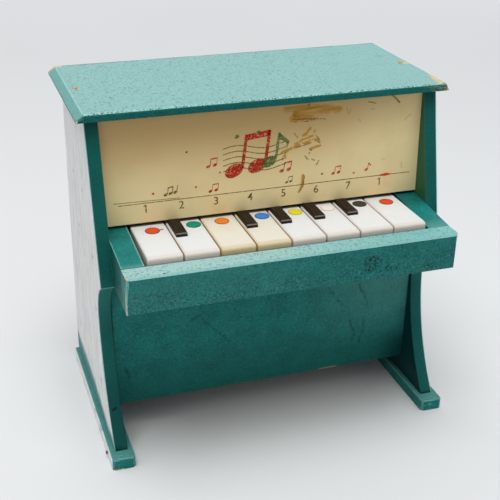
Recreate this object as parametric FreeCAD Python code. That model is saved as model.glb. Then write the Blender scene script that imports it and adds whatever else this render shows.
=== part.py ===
import FreeCAD, Part

import math
import os

# Toy piano. Sizes are in millimetres. X runs to the right, Y to the back and Z up from the floor.
# While the pieces are made, Y is measured from the lower front edge of the fascia.

# Keyboard
KEY_COUNT = 8
KEY_PITCH = 22.4
KEY_GAP = 0.8
KEY_END_GAP = 1.4
KEY_VISIBLE_LENGTH = 46.0
KEY_HEAD_BEHIND_FASCIA = 5.5
KEY_HEAD_HEIGHT = 16.8
KEY_WALL = 2.0
KEY_ROOF = 2.5
KEY_REAR_WALL = 5.0
KEY_FRONT_ROUND = 2.2
KEY_EDGE_ROUND = 1.0
KEY_TRAVEL_DEG = 4.5
KEY_PIVOT_BEHIND_FASCIA = 17.5
KEY_PIVOT_DROP = 10.0
KEY_TAIL_WIDTH = 12.0
KEY_TAIL_HEIGHT = 12.2
KEY_TAIL_DROP = 6.0
KEY_TAIL_PAST_HAMMER_FOOT = 9.0
KEY_HUB_RADIUS = 4.5
HUB_GAP = 0.4

# Dark caps and stickers on the keys
CAPPED_KEYS = (2, 4, 5, 6, 7)
CAP_WIDTH = 7.0
CAP_LENGTH = 22.0
CAP_HEIGHT = 2.6
CAP_NOSE_RUN = 0.8
CAP_SIDE_INSET = 1.1
CAP_FASCIA_GAP = 0.6
CAP_EDGE_ROUND = 0.6
DOT_RADIUS = 4.6
DOT_THICKNESS = 0.3
DOT_SETBACK = 7.5
END_DOT_SETBACK = 9.2
DOT_EDGE_GAP = 0.1
FREE_DOT_SHIFT = 1.0

# Key tray
TRAY_BOTTOM = 118.0
BED_THICKNESS = 4.0
CHEEK_THICKNESS = 14.0
CHEEK_HEIGHT = 28.0
CHEEK_POST_DEPTH = 14.0
CHEEK_POST_TOP_GAP = 6.0
RAIL_THICKNESS = 13.0
RAIL_HEIGHT = 24.0
RAIL_BOTTOM_SETBACK = 1.8
RAIL_KEY_GAP = 1.0
RAIL_CORNER_ROUND = 3.0
RAIL_EDGE_ROUND = 1.2
STOP_FELT_THICKNESS = 2.0
STOP_FELT_DEPTH = 8.0
STOP_FELT_SETBACK = 1.5
FELT_SIDE_GAP = 2.0
REST_FELT_DEPTH = 8.0
FELT_GAP = 0.3

# Case boards
SIDE_THICKNESS = 8.5
SIDE_TOP_HEIGHT = 216.5
SIDE_TOP_DEPTH = 78.5
SIDE_FOOT_DEPTH = 136.9
NOSE_REACH = 24.1
TOE_REACH = 15.5
WAIST_SETBACK = 15.4
WAIST_HEIGHT_SHARE = 0.727
COVE_DEPTH_SHARE = 0.81
COVE_HEIGHT_SHARE = 0.42
LEG_DEPTH_SHARE = 0.25
LEG_HEIGHT_SHARE = 0.475
FOOT_HEIGHT = 8.0
FOOT_WIDTH = 15.5
FOOT_TOE_OVERHANG = 8.9
FOOT_HEEL_SETBACK = 3.6
FOOT_CORNER_ROUND = 3.0
FOOT_EDGE_ROUND = 1.2
LID_THICKNESS = 4.5
LID_DEPTH = 110.2
LID_SIDE_OVERHANG = 5.1
LID_FRONT_OVERHANG = 7.8
LID_FRONT_ROUND = 1.6
LID_LEFT_BEVEL = 4.6
LID_RIGHT_BEVEL = 1.9
LID_END_FLAT = 1.2
FASCIA_THICKNESS = 3.0
FASCIA_LEAN = 3.7
FASCIA_RECESS = 1.8
FASCIA_KEY_GAP = 2.0
GROOVE_DEPTH = 3.0
LOWER_PANEL_THICKNESS = 8.0
LOWER_PANEL_RECESS = 1.8
LOWER_PANEL_FLOOR_GAP = 21.0
BACK_PANEL_THICKNESS = 3.0
BACK_PANEL_INSET = 4.8

# Hammers and tone bars
ROD_RADIUS = 1.25
ROD_SEAT_DEPTH = 9.0
RUNNING_CLEARANCE = 0.06
HAMMER_RATIO = 2.0
HAMMER_PIVOT_RISE = 6.0
HAMMER_HUB_RADIUS = 3.5
HAMMER_ARM_WIDTH = 6.0
HAMMER_ARM_HEIGHT = 4.0
HAMMER_FOOT_ARM = 15.5
HAMMER_FOOT_LENGTH = 4.0
HAMMER_FOOT_GAP = 0.4
HAMMER_HEAD_RADIUS = 4.0
HAMMER_HEAD_WIDTH = 8.0
HAMMER_HEAD_RISE = 14.6
STRIKE_GAP = 0.3
BAR_WIDTH = 12.0
BAR_THICKNESS = 1.5
BAR_END_GAP = 4.0
BAR_HOLE_RADIUS = 1.3
BAR_NODE_SHARE = 0.276
SCALE_PITCH_SHARES = (1.0, 9 / 8, 5 / 4, 4 / 3, 3 / 2, 5 / 3, 15 / 8, 2.0)
TONE_RAIL_WIDTH = 6.0
TONE_RAIL_HEIGHT = 8.0
TONE_FELT_THICKNESS = 2.0
PIN_RADIUS = 0.8
PIN_DEPTH = 6.0
PIN_HEAD_RADIUS = 2.2
PIN_HEAD_THICKNESS = 0.8
PIN_HEAD_GAP = 0.3

# Screws and nails
SCREW_RADIUS = 1.25
SCREW_LENGTH = 22.0
SCREW_HEAD_RADIUS = 2.4
SCREW_HEAD_HEIGHT = 1.6
SCREW_SINK = 0.4
LID_SCREW_SHARE = 0.6
RIGHT_SCREW_SHIFT = 2.0
NAIL_RADIUS = 0.8
NAIL_LENGTH = 19.0
NAIL_HEAD_RADIUS = 1.5
NAIL_HEAD_THICKNESS = 0.8
NAIL_SINK = 0.4
RAIL_NAIL_HEIGHT = 11.0
RAIL_NAIL_FROM_END = 4.8
TACK_RADIUS = 0.7
TACK_LENGTH = 10.0
TACK_HEAD_RADIUS = 1.3
TACK_HEAD_THICKNESS = 0.7
TACK_STAND = 1.2
TACK_SETBACK = 15.0
LOWER_PANEL_NAIL_SHARES = (0.2, 0.75)
CHEEK_NAIL_SHARES = (0.38, 0.8)
FOOT_NAIL_SHARES = (0.2, 0.75)

# One overrun for every cut
OVERRUN = 1.0

# Widths, from the middle outwards
key_half = (KEY_PITCH - KEY_GAP) / 2
key_span_half = KEY_COUNT * KEY_PITCH / 2
tray_half = key_span_half + KEY_END_GAP
side_inner = tray_half + CHEEK_THICKNESS
side_outer = side_inner + SIDE_THICKNESS
side_middle = (side_inner + side_outer) / 2
foot_outer = side_middle + FOOT_WIDTH / 2
lid_half = side_outer + LID_SIDE_OVERHANG

# Depths
key_front = -KEY_VISIBLE_LENGTH
rail_back = key_front - RAIL_KEY_GAP
rail_front = rail_back - RAIL_THICKNESS
side_top_front = FASCIA_LEAN - FASCIA_RECESS
side_top_back = side_top_front + SIDE_TOP_DEPTH
nose_front = side_top_front - NOSE_REACH
waist_front = nose_front + WAIST_SETBACK
toe_front = nose_front - TOE_REACH
foot_front = toe_front - FOOT_TOE_OVERHANG
heel_back = toe_front + SIDE_FOOT_DEPTH
lid_front = side_top_front - LID_FRONT_OVERHANG
lid_back = lid_front + LID_DEPTH
screw_y = side_top_front + SIDE_TOP_DEPTH * LID_SCREW_SHARE
lower_panel_front = waist_front + LOWER_PANEL_RECESS
back_panel_back = side_top_back - BACK_PANEL_INSET
back_panel_front = back_panel_back - BACK_PANEL_THICKNESS
bar_room_front = FASCIA_LEAN + FASCIA_THICKNESS
strike_line = (bar_room_front + back_panel_front) / 2
hammer_pivot_y = back_panel_front - CHEEK_POST_DEPTH / 2
hammer_foot_y = hammer_pivot_y - HAMMER_FOOT_ARM
key_pivot_y = KEY_PIVOT_BEHIND_FASCIA
key_tail_back = hammer_foot_y + KEY_TAIL_PAST_HAMMER_FOOT
centre_y = (rail_front + lid_back) / 2

# Heights
side_bottom = FOOT_HEIGHT
screw_top = SIDE_TOP_HEIGHT + LID_THICKNESS - SCREW_SINK
bed_top = TRAY_BOTTOM + BED_THICKNESS
key_travel = math.radians(KEY_TRAVEL_DEG)
key_dip = (key_pivot_y - key_front) * math.sin(key_travel)
key_bottom = bed_top + STOP_FELT_THICKNESS + FELT_GAP + key_dip
key_top = key_bottom + KEY_HEAD_HEIGHT
key_pivot_z = key_top - KEY_PIVOT_DROP
tail_top = key_top - KEY_TAIL_DROP
tail_bottom = tail_top - KEY_TAIL_HEIGHT
rail_top = TRAY_BOTTOM + RAIL_HEIGHT
cheek_top = TRAY_BOTTOM + CHEEK_HEIGHT
fascia_bottom = key_top + FASCIA_KEY_GAP
waist_z = side_bottom + (TRAY_BOTTOM - side_bottom) * WAIST_HEIGHT_SHARE
hammer_pivot_z = key_top + HAMMER_PIVOT_RISE
post_top = hammer_pivot_z + CHEEK_POST_TOP_GAP
hammer_travel = key_travel * HAMMER_RATIO
hammer_reach = hammer_pivot_y - strike_line
struck_height = hammer_reach * math.sin(hammer_travel) + HAMMER_HEAD_RISE * math.cos(hammer_travel)
bar_bottom = hammer_pivot_z + struck_height + STRIKE_GAP
tone_rail_top = bar_bottom - TONE_FELT_THICKNESS
tone_rail_bottom = tone_rail_top - TONE_RAIL_HEIGHT

pieces = {}


def vector(x, y, z):
    return FreeCAD.Vector(x, y, z)


def box(x0, x1, y0, y1, z0, z1):
    return Part.makeBox(x1 - x0, y1 - y0, z1 - z0, vector(x0, y0, z0))


def rod_x(radius, x0, x1, y, z):
    return Part.makeCylinder(radius, x1 - x0, vector(x0, y, z), vector(1, 0, 0))


def rod_y(radius, x, y0, y1, z):
    return Part.makeCylinder(radius, y1 - y0, vector(x, y0, z), vector(0, 1, 0))


def rod_z(radius, x, y, z0, z1):
    return Part.makeCylinder(radius, z1 - z0, vector(x, y, z0), vector(0, 0, 1))


def extrude_face(edges, direction):
    return Part.Face(Part.Wire(edges)).extrude(direction)


def side_profile(points, x0, x1):
    """Extrude a straight-sided outline of (y, z) points from x0 to x1."""
    corners = [vector(x0, y, z) for y, z in points]
    outline = Part.makePolygon(corners + corners[:1])
    return Part.Face(outline).extrude(vector(x1 - x0, 0, 0))


def front_profile(points, y0, y1):
    """Extrude a straight-sided outline of (x, z) points from y0 to y1."""
    corners = [vector(x, y0, z) for x, z in points]
    outline = Part.makePolygon(corners + corners[:1])
    return Part.Face(outline).extrude(vector(0, y1 - y0, 0))


def plan_profile(points, z0, z1):
    """Extrude a straight-sided outline of (x, y) points from z0 to z1."""
    corners = [vector(x, y, z0) for x, y in points]
    outline = Part.makePolygon(corners + corners[:1])
    return Part.Face(outline).extrude(vector(0, 0, z1 - z0))


def edges_at(shape, test):
    """Edges whose two ends both pass the test."""
    return [edge for edge in shape.Edges if all(test(v.Point) for v in edge.Vertexes)]


def near(a, b):
    return math.isclose(a, b, abs_tol=1e-6)


def upright_edges(shape, test):
    """Upright edges whose foot passes the test."""
    def upright(edge):
        low, high = edge.Vertexes[0].Point, edge.Vertexes[-1].Point
        return near(low.x, high.x) and near(low.y, high.y) and test(low)
    return [edge for edge in shape.Edges if upright(edge)]


def end_edges(shape, x, skip):
    """Edges of the end face at x, without those whose middle passes the skip test."""
    return [edge for edge in edges_at(shape, lambda p: near(p.x, x)) if not skip(edge.CenterOfMass)]


def mirrored(shape):
    return shape.mirror(vector(0, 0, 0), vector(1, 0, 0))


def keep(name, shape):
    pieces[name] = shape


def cut(name, tools):
    """Cut holes or grooves into a piece that has been made."""
    pieces[name] = pieces[name].cut(Part.makeCompound(tools))


def key_centre(number):
    return (number - 1) * KEY_PITCH - key_span_half + KEY_PITCH / 2


def bar_length(number):
    """Bars of one thickness sound higher with the inverse square of their length."""
    longest = back_panel_front - bar_room_front - 2 * BAR_END_GAP
    return longest / math.sqrt(SCALE_PITCH_SHARES[number - 1])


def node_offset(x):
    """Half the distance between the tone rails at x, so that every bar rests near its still points."""
    first = bar_length(1) * BAR_NODE_SHARE
    last = bar_length(KEY_COUNT) * BAR_NODE_SHARE
    share = (x - key_centre(1)) / (key_centre(KEY_COUNT) - key_centre(1))
    return first + (last - first) * share


# Case boards

def side_panel():
    """Right side panel: raked front edge, nose under the key tray, concave leg."""
    top_front = vector(side_inner, side_top_front, SIDE_TOP_HEIGHT)
    top_back = vector(side_inner, side_top_back, SIDE_TOP_HEIGHT)
    nose = vector(side_inner, nose_front, TRAY_BOTTOM)
    waist = vector(side_inner, waist_front, waist_z)
    toe = vector(side_inner, toe_front, side_bottom)
    heel = vector(side_inner, heel_back, side_bottom)
    cove = nose + vector(0, WAIST_SETBACK * COVE_DEPTH_SHARE, (waist_z - TRAY_BOTTOM) * COVE_HEIGHT_SHARE)
    shin = waist + vector(0, (toe_front - waist_front) * LEG_DEPTH_SHARE,
                          (side_bottom - waist_z) * LEG_HEIGHT_SHARE)
    edges = [
        Part.makeLine(top_front, nose),
        Part.Arc(nose, cove, waist).toShape(),
        Part.Arc(waist, shin, toe).toShape(),
        Part.makeLine(toe, heel),
        Part.makeLine(heel, top_back),
        Part.makeLine(top_back, top_front),
    ]
    return extrude_face(edges, vector(SIDE_THICKNESS, 0, 0))


def fascia(half_width):
    outline = [
        (0, fascia_bottom),
        (FASCIA_LEAN, SIDE_TOP_HEIGHT),
        (FASCIA_LEAN + FASCIA_THICKNESS, SIDE_TOP_HEIGHT),
        (FASCIA_THICKNESS, fascia_bottom),
    ]
    return side_profile(outline, -half_width, half_width)


def back_panel():
    half_width = side_inner + GROOVE_DEPTH
    return box(-half_width, half_width, back_panel_front, back_panel_back,
               LOWER_PANEL_FLOOR_GAP, SIDE_TOP_HEIGHT)


def lower_front_panel():
    return box(-side_inner, side_inner, lower_panel_front, lower_panel_front + LOWER_PANEL_THICKNESS,
               LOWER_PANEL_FLOOR_GAP, TRAY_BOTTOM)


def lid():
    """Board with planed bevels at its ends and a rounded front edge."""
    top = SIDE_TOP_HEIGHT + LID_THICKNESS
    shoulder = SIDE_TOP_HEIGHT + LID_END_FLAT
    outline = [
        (-lid_half, SIDE_TOP_HEIGHT),
        (-lid_half, shoulder),
        (-lid_half + LID_LEFT_BEVEL, top),
        (lid_half - LID_RIGHT_BEVEL, top),
        (lid_half, shoulder),
        (lid_half, SIDE_TOP_HEIGHT),
    ]
    board = front_profile(outline, lid_front, lid_back)
    front_edges = edges_at(board, lambda p: near(p.y, lid_front) and p.z > SIDE_TOP_HEIGHT)
    return board.makeFillet(LID_FRONT_ROUND, front_edges)


def foot():
    """Right foot, under the side panel."""
    back = heel_back - FOOT_HEEL_SETBACK
    bar = box(foot_outer - FOOT_WIDTH, foot_outer, foot_front, back, 0, FOOT_HEIGHT)
    bar = bar.makeFillet(FOOT_CORNER_ROUND, upright_edges(bar, lambda p: near(p.y, foot_front)))
    front_edges = edges_at(bar, lambda p: near(p.z, FOOT_HEIGHT) and p.y < foot_front + FOOT_WIDTH)
    return bar.makeFillet(FOOT_EDGE_ROUND, front_edges)


def make_case():
    keep("top_board", lid())
    keep("right_side_panel", side_panel())
    keep("left_side_panel", mirrored(side_panel()))
    keep("right_foot", foot())
    keep("left_foot", mirrored(foot()))
    keep("fascia_panel", fascia(side_inner + GROOVE_DEPTH))
    keep("lower_front_panel", lower_front_panel())
    keep("back_panel", back_panel())
    for name in ("left_side_panel", "right_side_panel"):
        cut(name, [pieces["fascia_panel"], pieces["back_panel"]])


# Key tray

def cheek():
    """Right cheek: slopes to the front rail and rises to a post that holds the hammer rod."""
    post_front = back_panel_front - CHEEK_POST_DEPTH
    outline = [
        (rail_back, TRAY_BOTTOM),
        (rail_back, rail_top),
        (0, cheek_top),
        (post_front, cheek_top),
        (post_front, post_top),
        (back_panel_front, post_top),
        (back_panel_front, TRAY_BOTTOM),
    ]
    return side_profile(outline, tray_half, side_inner)


def key_rail():
    plan = box(-side_inner, side_inner, rail_front, rail_back, TRAY_BOTTOM, rail_top)
    plan = plan.makeFillet(RAIL_CORNER_ROUND, upright_edges(plan, lambda p: near(p.y, rail_front)))
    section = side_profile([
        (rail_front + RAIL_BOTTOM_SETBACK, TRAY_BOTTOM),
        (rail_front, rail_top - RAIL_EDGE_ROUND),
        (rail_front + RAIL_EDGE_ROUND, rail_top),
        (rail_back, rail_top),
        (rail_back, TRAY_BOTTOM),
    ], -side_inner, side_inner)
    return plan.common(section)


def make_tray():
    keep("right_cheek", cheek())
    keep("left_cheek", mirrored(cheek()))
    keep("key_rail", key_rail())
    keep("key_bed", box(-tray_half, tray_half, rail_back, back_panel_front, TRAY_BOTTOM, bed_top))
    felt_half = tray_half - FELT_SIDE_GAP
    stop_front = key_front + STOP_FELT_SETBACK
    keep("key_stop_felt", box(-felt_half, felt_half, stop_front, stop_front + STOP_FELT_DEPTH,
                              bed_top, bed_top + STOP_FELT_THICKNESS))
    rest_back = key_tail_back - FELT_SIDE_GAP
    keep("key_rest_felt", box(-felt_half, felt_half, rest_back - REST_FELT_DEPTH, rest_back,
                              bed_top, tail_bottom - FELT_GAP))
    rod_half = tray_half + ROD_SEAT_DEPTH
    keep("key_pivot_rod", rod_x(ROD_RADIUS, -rod_half, rod_half, key_pivot_y, key_pivot_z))
    keep("hammer_pivot_rod", rod_x(ROD_RADIUS, -rod_half, rod_half, hammer_pivot_y, hammer_pivot_z))
    for name in ("left_cheek", "right_cheek"):
        cut(name, [pieces["key_pivot_rod"], pieces["hammer_pivot_rod"]])


# Keys

def rod_hole(y, z):
    return rod_x(ROD_RADIUS + RUNNING_CLEARANCE, -side_outer, side_outer, y, z)


def key_head(x):
    """Block with its front edge well rounded and its other top and front edges eased."""
    back = KEY_HEAD_BEHIND_FASCIA
    head = box(x - key_half, x + key_half, key_front, back, key_bottom, key_top)
    front_edge = edges_at(head, lambda p: near(p.y, key_front) and near(p.z, key_top))
    head = head.makeFillet(KEY_FRONT_ROUND, front_edge)
    eased = []
    for side in (x - key_half, x + key_half):
        eased += end_edges(head, side, lambda middle: near(middle.z, key_bottom) or near(middle.y, back))
    return head.makeFillet(KEY_EDGE_ROUND, eased)


def white_key(x):
    """Hollow head in front of the fascia, tail behind it, and a hub that spaces the keys on their rod."""
    back = KEY_HEAD_BEHIND_FASCIA
    hollow = box(x - key_half + KEY_WALL, x + key_half - KEY_WALL,
                 key_front + KEY_WALL, back - KEY_REAR_WALL,
                 key_bottom - OVERRUN, key_top - KEY_ROOF)
    tail = box(x - KEY_TAIL_WIDTH / 2, x + KEY_TAIL_WIDTH / 2, back - KEY_REAR_WALL, key_tail_back,
               tail_bottom, tail_top)
    hub_half = (KEY_PITCH - HUB_GAP) / 2
    hub = rod_x(KEY_HUB_RADIUS, x - hub_half, x + hub_half, key_pivot_y, key_pivot_z)
    key = key_head(x).cut(hollow).fuse([tail, hub])
    return key.cut(rod_hole(key_pivot_y, key_pivot_z)).removeSplitter()


def cap_left(x):
    return x - key_half + CAP_SIDE_INSET


def black_cap(x):
    back = -CAP_FASCIA_GAP
    front = back - CAP_LENGTH
    top = key_top + CAP_HEIGHT
    outline = [(front, key_top), (front + CAP_NOSE_RUN, top), (back, top), (back, key_top)]
    cap = side_profile(outline, cap_left(x), cap_left(x) + CAP_WIDTH)
    top_edges = edges_at(cap, lambda p: near(p.z, top))
    return cap.makeFillet(CAP_EDGE_ROUND, top_edges)


def colour_dot(number):
    shift = FREE_DOT_SHIFT
    if number in CAPPED_KEYS:
        shift = key_half - KEY_EDGE_ROUND - DOT_EDGE_GAP - DOT_RADIUS
    setback = END_DOT_SETBACK if number in (1, KEY_COUNT) else DOT_SETBACK
    return rod_z(DOT_RADIUS, key_centre(number) + shift, -setback, key_top, key_top + DOT_THICKNESS)


def make_keys():
    for number in range(1, KEY_COUNT + 1):
        x = key_centre(number)
        keep(f"white_key_{number}", white_key(x))
        keep(f"colour_dot_{number}", colour_dot(number))
        if number in CAPPED_KEYS:
            keep(f"black_cap_{number}", black_cap(x))


# Hammers

def hammer(x):
    """Lever with a foot on the key's tail and a round head under the tone bar."""
    hub_half = (KEY_PITCH - HUB_GAP) / 2
    arm_half = HAMMER_ARM_WIDTH / 2
    hub = rod_x(HAMMER_HUB_RADIUS, x - hub_half, x + hub_half, hammer_pivot_y, hammer_pivot_z)
    arm = box(x - arm_half, x + arm_half, strike_line - arm_half, hammer_pivot_y,
              hammer_pivot_z - HAMMER_ARM_HEIGHT / 2, hammer_pivot_z + HAMMER_ARM_HEIGHT / 2)
    foot_half = HAMMER_FOOT_LENGTH / 2
    lever_foot = box(x - arm_half, x + arm_half, hammer_foot_y - foot_half, hammer_foot_y + foot_half,
                     tail_top + HAMMER_FOOT_GAP, hammer_pivot_z)
    head_z = hammer_pivot_z + HAMMER_HEAD_RISE - HAMMER_HEAD_RADIUS
    stem = box(x - arm_half, x + arm_half, strike_line - arm_half, strike_line + arm_half,
               hammer_pivot_z, head_z)
    head_half = HAMMER_HEAD_WIDTH / 2
    head = rod_x(HAMMER_HEAD_RADIUS, x - head_half, x + head_half, strike_line, head_z)
    lever = hub.fuse([arm, lever_foot, stem, head])
    return lever.cut(rod_hole(hammer_pivot_y, hammer_pivot_z)).removeSplitter()


def make_hammers():
    for number in range(1, KEY_COUNT + 1):
        keep(f"hammer_{number}", hammer(key_centre(number)))


# Tone bars

def tone_strip(side, z0, z1):
    """Strip from side panel to side panel, on the front (-1) or rear (+1) still points of the bars."""
    left = strike_line + side * node_offset(-side_inner)
    right = strike_line + side * node_offset(side_inner)
    half = TONE_RAIL_WIDTH / 2
    outline = [
        (-side_inner, left - half),
        (side_inner, right - half),
        (side_inner, right + half),
        (-side_inner, left + half),
    ]
    return plan_profile(outline, z0, z1)


def pin_places():
    for number in range(1, KEY_COUNT + 1):
        x = key_centre(number)
        for side in (-1, 1):
            yield number, x, strike_line + side * node_offset(x)


def tone_pin(x, y):
    head_bottom = bar_bottom + BAR_THICKNESS + PIN_HEAD_GAP
    shank = rod_z(PIN_RADIUS, x, y, tone_rail_top - PIN_DEPTH, head_bottom)
    head = rod_z(PIN_HEAD_RADIUS, x, y, head_bottom, head_bottom + PIN_HEAD_THICKNESS)
    return shank.fuse(head).removeSplitter()


def tone_bar(number):
    x = key_centre(number)
    half = bar_length(number) / 2
    bar = box(x - BAR_WIDTH / 2, x + BAR_WIDTH / 2, strike_line - half, strike_line + half,
              bar_bottom, bar_bottom + BAR_THICKNESS)
    holes = [rod_z(BAR_HOLE_RADIUS, px, py, bar_bottom - OVERRUN, bar_bottom + BAR_THICKNESS + OVERRUN)
             for owner, px, py in pin_places() if owner == number]
    return bar.cut(Part.makeCompound(holes))


def make_tone_bars():
    keep("front_tone_rail", tone_strip(-1, tone_rail_bottom, tone_rail_top))
    keep("rear_tone_rail", tone_strip(1, tone_rail_bottom, tone_rail_top))
    keep("tone_felts", Part.makeCompound([tone_strip(side, tone_rail_top, bar_bottom) for side in (-1, 1)]))
    for number in range(1, KEY_COUNT + 1):
        keep(f"tone_bar_{number}", tone_bar(number))
    pins = [tone_pin(x, y) for _, x, y in pin_places()]
    keep("tone_bar_pins", Part.makeCompound(pins))
    for name in ("front_tone_rail", "rear_tone_rail", "tone_felts"):
        cut(name, pins)


# Screws and nails

def lid_screw(x):
    shank = rod_z(SCREW_RADIUS, x, screw_y, screw_top - SCREW_LENGTH, screw_top)
    head = Part.makeCone(SCREW_RADIUS, SCREW_HEAD_RADIUS, SCREW_HEAD_HEIGHT,
                         vector(x, screw_y, screw_top - SCREW_HEAD_HEIGHT), vector(0, 0, 1))
    return shank.fuse(head).removeSplitter()


def lid_screw_well(x):
    return rod_z(SCREW_HEAD_RADIUS, x, screw_y, screw_top, screw_top + SCREW_SINK + OVERRUN)


def side_nail(y, z):
    """Nail through the right side panel, head flush with its outer face."""
    neck = side_outer - NAIL_HEAD_THICKNESS
    shank = rod_x(NAIL_RADIUS, side_outer - NAIL_LENGTH, neck, y, z)
    return shank.fuse(rod_x(NAIL_HEAD_RADIUS, neck, side_outer, y, z)).removeSplitter()


def foot_nail(y):
    """Nail up through the right foot, head flush with its underside."""
    shank = rod_z(NAIL_RADIUS, side_middle, y, NAIL_HEAD_THICKNESS, NAIL_LENGTH)
    return shank.fuse(rod_z(NAIL_HEAD_RADIUS, side_middle, y, 0, NAIL_HEAD_THICKNESS)).removeSplitter()


def rail_nail_place():
    """Middle of the right rail nail on the rail's sloping face."""
    slope_top = rail_top - RAIL_EDGE_ROUND
    z = TRAY_BOTTOM + RAIL_NAIL_HEIGHT
    setback = RAIL_BOTTOM_SETBACK * (slope_top - z) / (slope_top - TRAY_BOTTOM)
    return side_inner - RAIL_NAIL_FROM_END, rail_front + setback, z


def rail_nail():
    """Nail through the front rail into the right cheek, its head a little below the rail's face."""
    x, face, z = rail_nail_place()
    neck = face + NAIL_SINK + NAIL_HEAD_THICKNESS
    shank = rod_y(NAIL_RADIUS, x, neck, face + NAIL_SINK + NAIL_LENGTH, z)
    return shank.fuse(rod_y(NAIL_HEAD_RADIUS, x, face + NAIL_SINK, neck, z)).removeSplitter()


def rail_nail_well():
    x, face, z = rail_nail_place()
    return rod_y(NAIL_HEAD_RADIUS, x, face - OVERRUN, face + NAIL_SINK, z)


def foot_tack():
    """Tack in the outer side of the right foot, its head standing out."""
    y = foot_front + TACK_SETBACK
    z = FOOT_HEIGHT / 2
    tip = foot_outer + TACK_STAND
    neck = tip - TACK_HEAD_THICKNESS
    shank = rod_x(TACK_RADIUS, tip - TACK_LENGTH, neck, y, z)
    return shank.fuse(rod_x(TACK_HEAD_RADIUS, neck, tip, y, z)).removeSplitter()


def between(low, high, share):
    return low + (high - low) * share


def board_nails():
    """Nails of the right side that both sides share."""
    panel_y = lower_panel_front + LOWER_PANEL_THICKNESS / 2
    cheek_z = (TRAY_BOTTOM + rail_top) / 2
    for share in LOWER_PANEL_NAIL_SHARES:
        yield side_nail(panel_y, between(LOWER_PANEL_FLOOR_GAP, TRAY_BOTTOM, share))
    for share in CHEEK_NAIL_SHARES:
        yield side_nail(between(rail_back, back_panel_front, share), cheek_z)
    for share in FOOT_NAIL_SHARES:
        yield foot_nail(between(toe_front, heel_back, share))
    yield rail_nail()


def rail_nails(end):
    """Nails into the two tone rails at the left (-1) or right (+1) end."""
    z = (tone_rail_bottom + tone_rail_top) / 2
    for side in (-1, 1):
        nail = side_nail(strike_line + side * node_offset(end * side_inner), z)
        yield nail if end > 0 else mirrored(nail)


def make_fasteners():
    screw_places = (-side_middle, side_middle + RIGHT_SCREW_SHIFT)
    screws = Part.makeCompound([lid_screw(x) for x in screw_places])
    keep("lid_screws", screws)
    right = list(board_nails())
    left = [mirrored(nail) for nail in right]
    nails = right + left + list(rail_nails(-1)) + list(rail_nails(1))
    keep("case_nails", Part.makeCompound(nails))
    tacks = [foot_tack(), mirrored(foot_tack())]
    keep("foot_tacks", Part.makeCompound(tacks))
    cut("top_board", [screws] + [lid_screw_well(x) for x in screw_places])
    for side in ("left", "right"):
        cut(f"{side}_side_panel", [screws] + nails)
        cut(f"{side}_foot", nails + tacks)
        cut(f"{side}_cheek", nails)
    for name in ("lower_front_panel", "front_tone_rail", "rear_tone_rail"):
        cut(name, nails)
    cut("key_rail", nails + [rail_nail_well(), mirrored(rail_nail_well())])


def main():
    make_case()
    make_tray()
    make_keys()
    make_hammers()
    make_tone_bars()
    make_fasteners()
    os.makedirs("parts", exist_ok=True)
    for name, shape in pieces.items():
        shape.translate(vector(0, -centre_y, 0))
        shape.exportStep(f"parts/{name}.step")
        print(name, "solids", len(shape.Solids), "valid", shape.isValid(), "volume", round(shape.Volume))
    print("key pivot", round(key_pivot_y - centre_y, 3), round(key_pivot_z, 3))
    print("hammer pivot", round(hammer_pivot_y - centre_y, 3), round(hammer_pivot_z, 3))
    print("key top", round(key_top, 3), "fascia bottom", round(fascia_bottom, 3))


main()
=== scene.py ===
"""Looks of the toy piano: paint and wear, the printed scale, felts, light and camera."""
import math

import bmesh
import bpy
from mathutils import Matrix, Vector


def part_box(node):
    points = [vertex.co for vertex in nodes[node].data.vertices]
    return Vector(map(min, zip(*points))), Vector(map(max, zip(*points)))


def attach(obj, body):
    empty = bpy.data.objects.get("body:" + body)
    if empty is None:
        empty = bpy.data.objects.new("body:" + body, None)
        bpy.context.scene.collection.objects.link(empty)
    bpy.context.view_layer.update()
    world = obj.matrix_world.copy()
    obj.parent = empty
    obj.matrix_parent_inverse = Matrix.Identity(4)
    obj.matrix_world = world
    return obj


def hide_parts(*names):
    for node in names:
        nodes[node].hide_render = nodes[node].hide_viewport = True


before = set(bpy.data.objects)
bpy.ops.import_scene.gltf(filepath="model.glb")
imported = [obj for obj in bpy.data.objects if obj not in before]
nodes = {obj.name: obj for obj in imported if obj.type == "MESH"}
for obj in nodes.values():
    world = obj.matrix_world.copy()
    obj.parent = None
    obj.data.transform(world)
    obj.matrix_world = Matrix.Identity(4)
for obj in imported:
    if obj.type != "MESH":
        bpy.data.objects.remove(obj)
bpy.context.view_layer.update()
MM = 0.001
KEYS = range(1, 9)


def rgb(red, green, blue):
    """Linear colour of an sRGB display colour from 0 to 255."""
    def linear(level):
        share = level / 255
        return share / 12.92 if share <= 0.04045 else ((share + 0.055) / 1.055) ** 2.4
    return (linear(red), linear(green), linear(blue), 1.0)


def box_mm(node):
    """Lowest and highest corner of a node in millimetres."""
    low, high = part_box(node)
    return low / MM, high / MM


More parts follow.
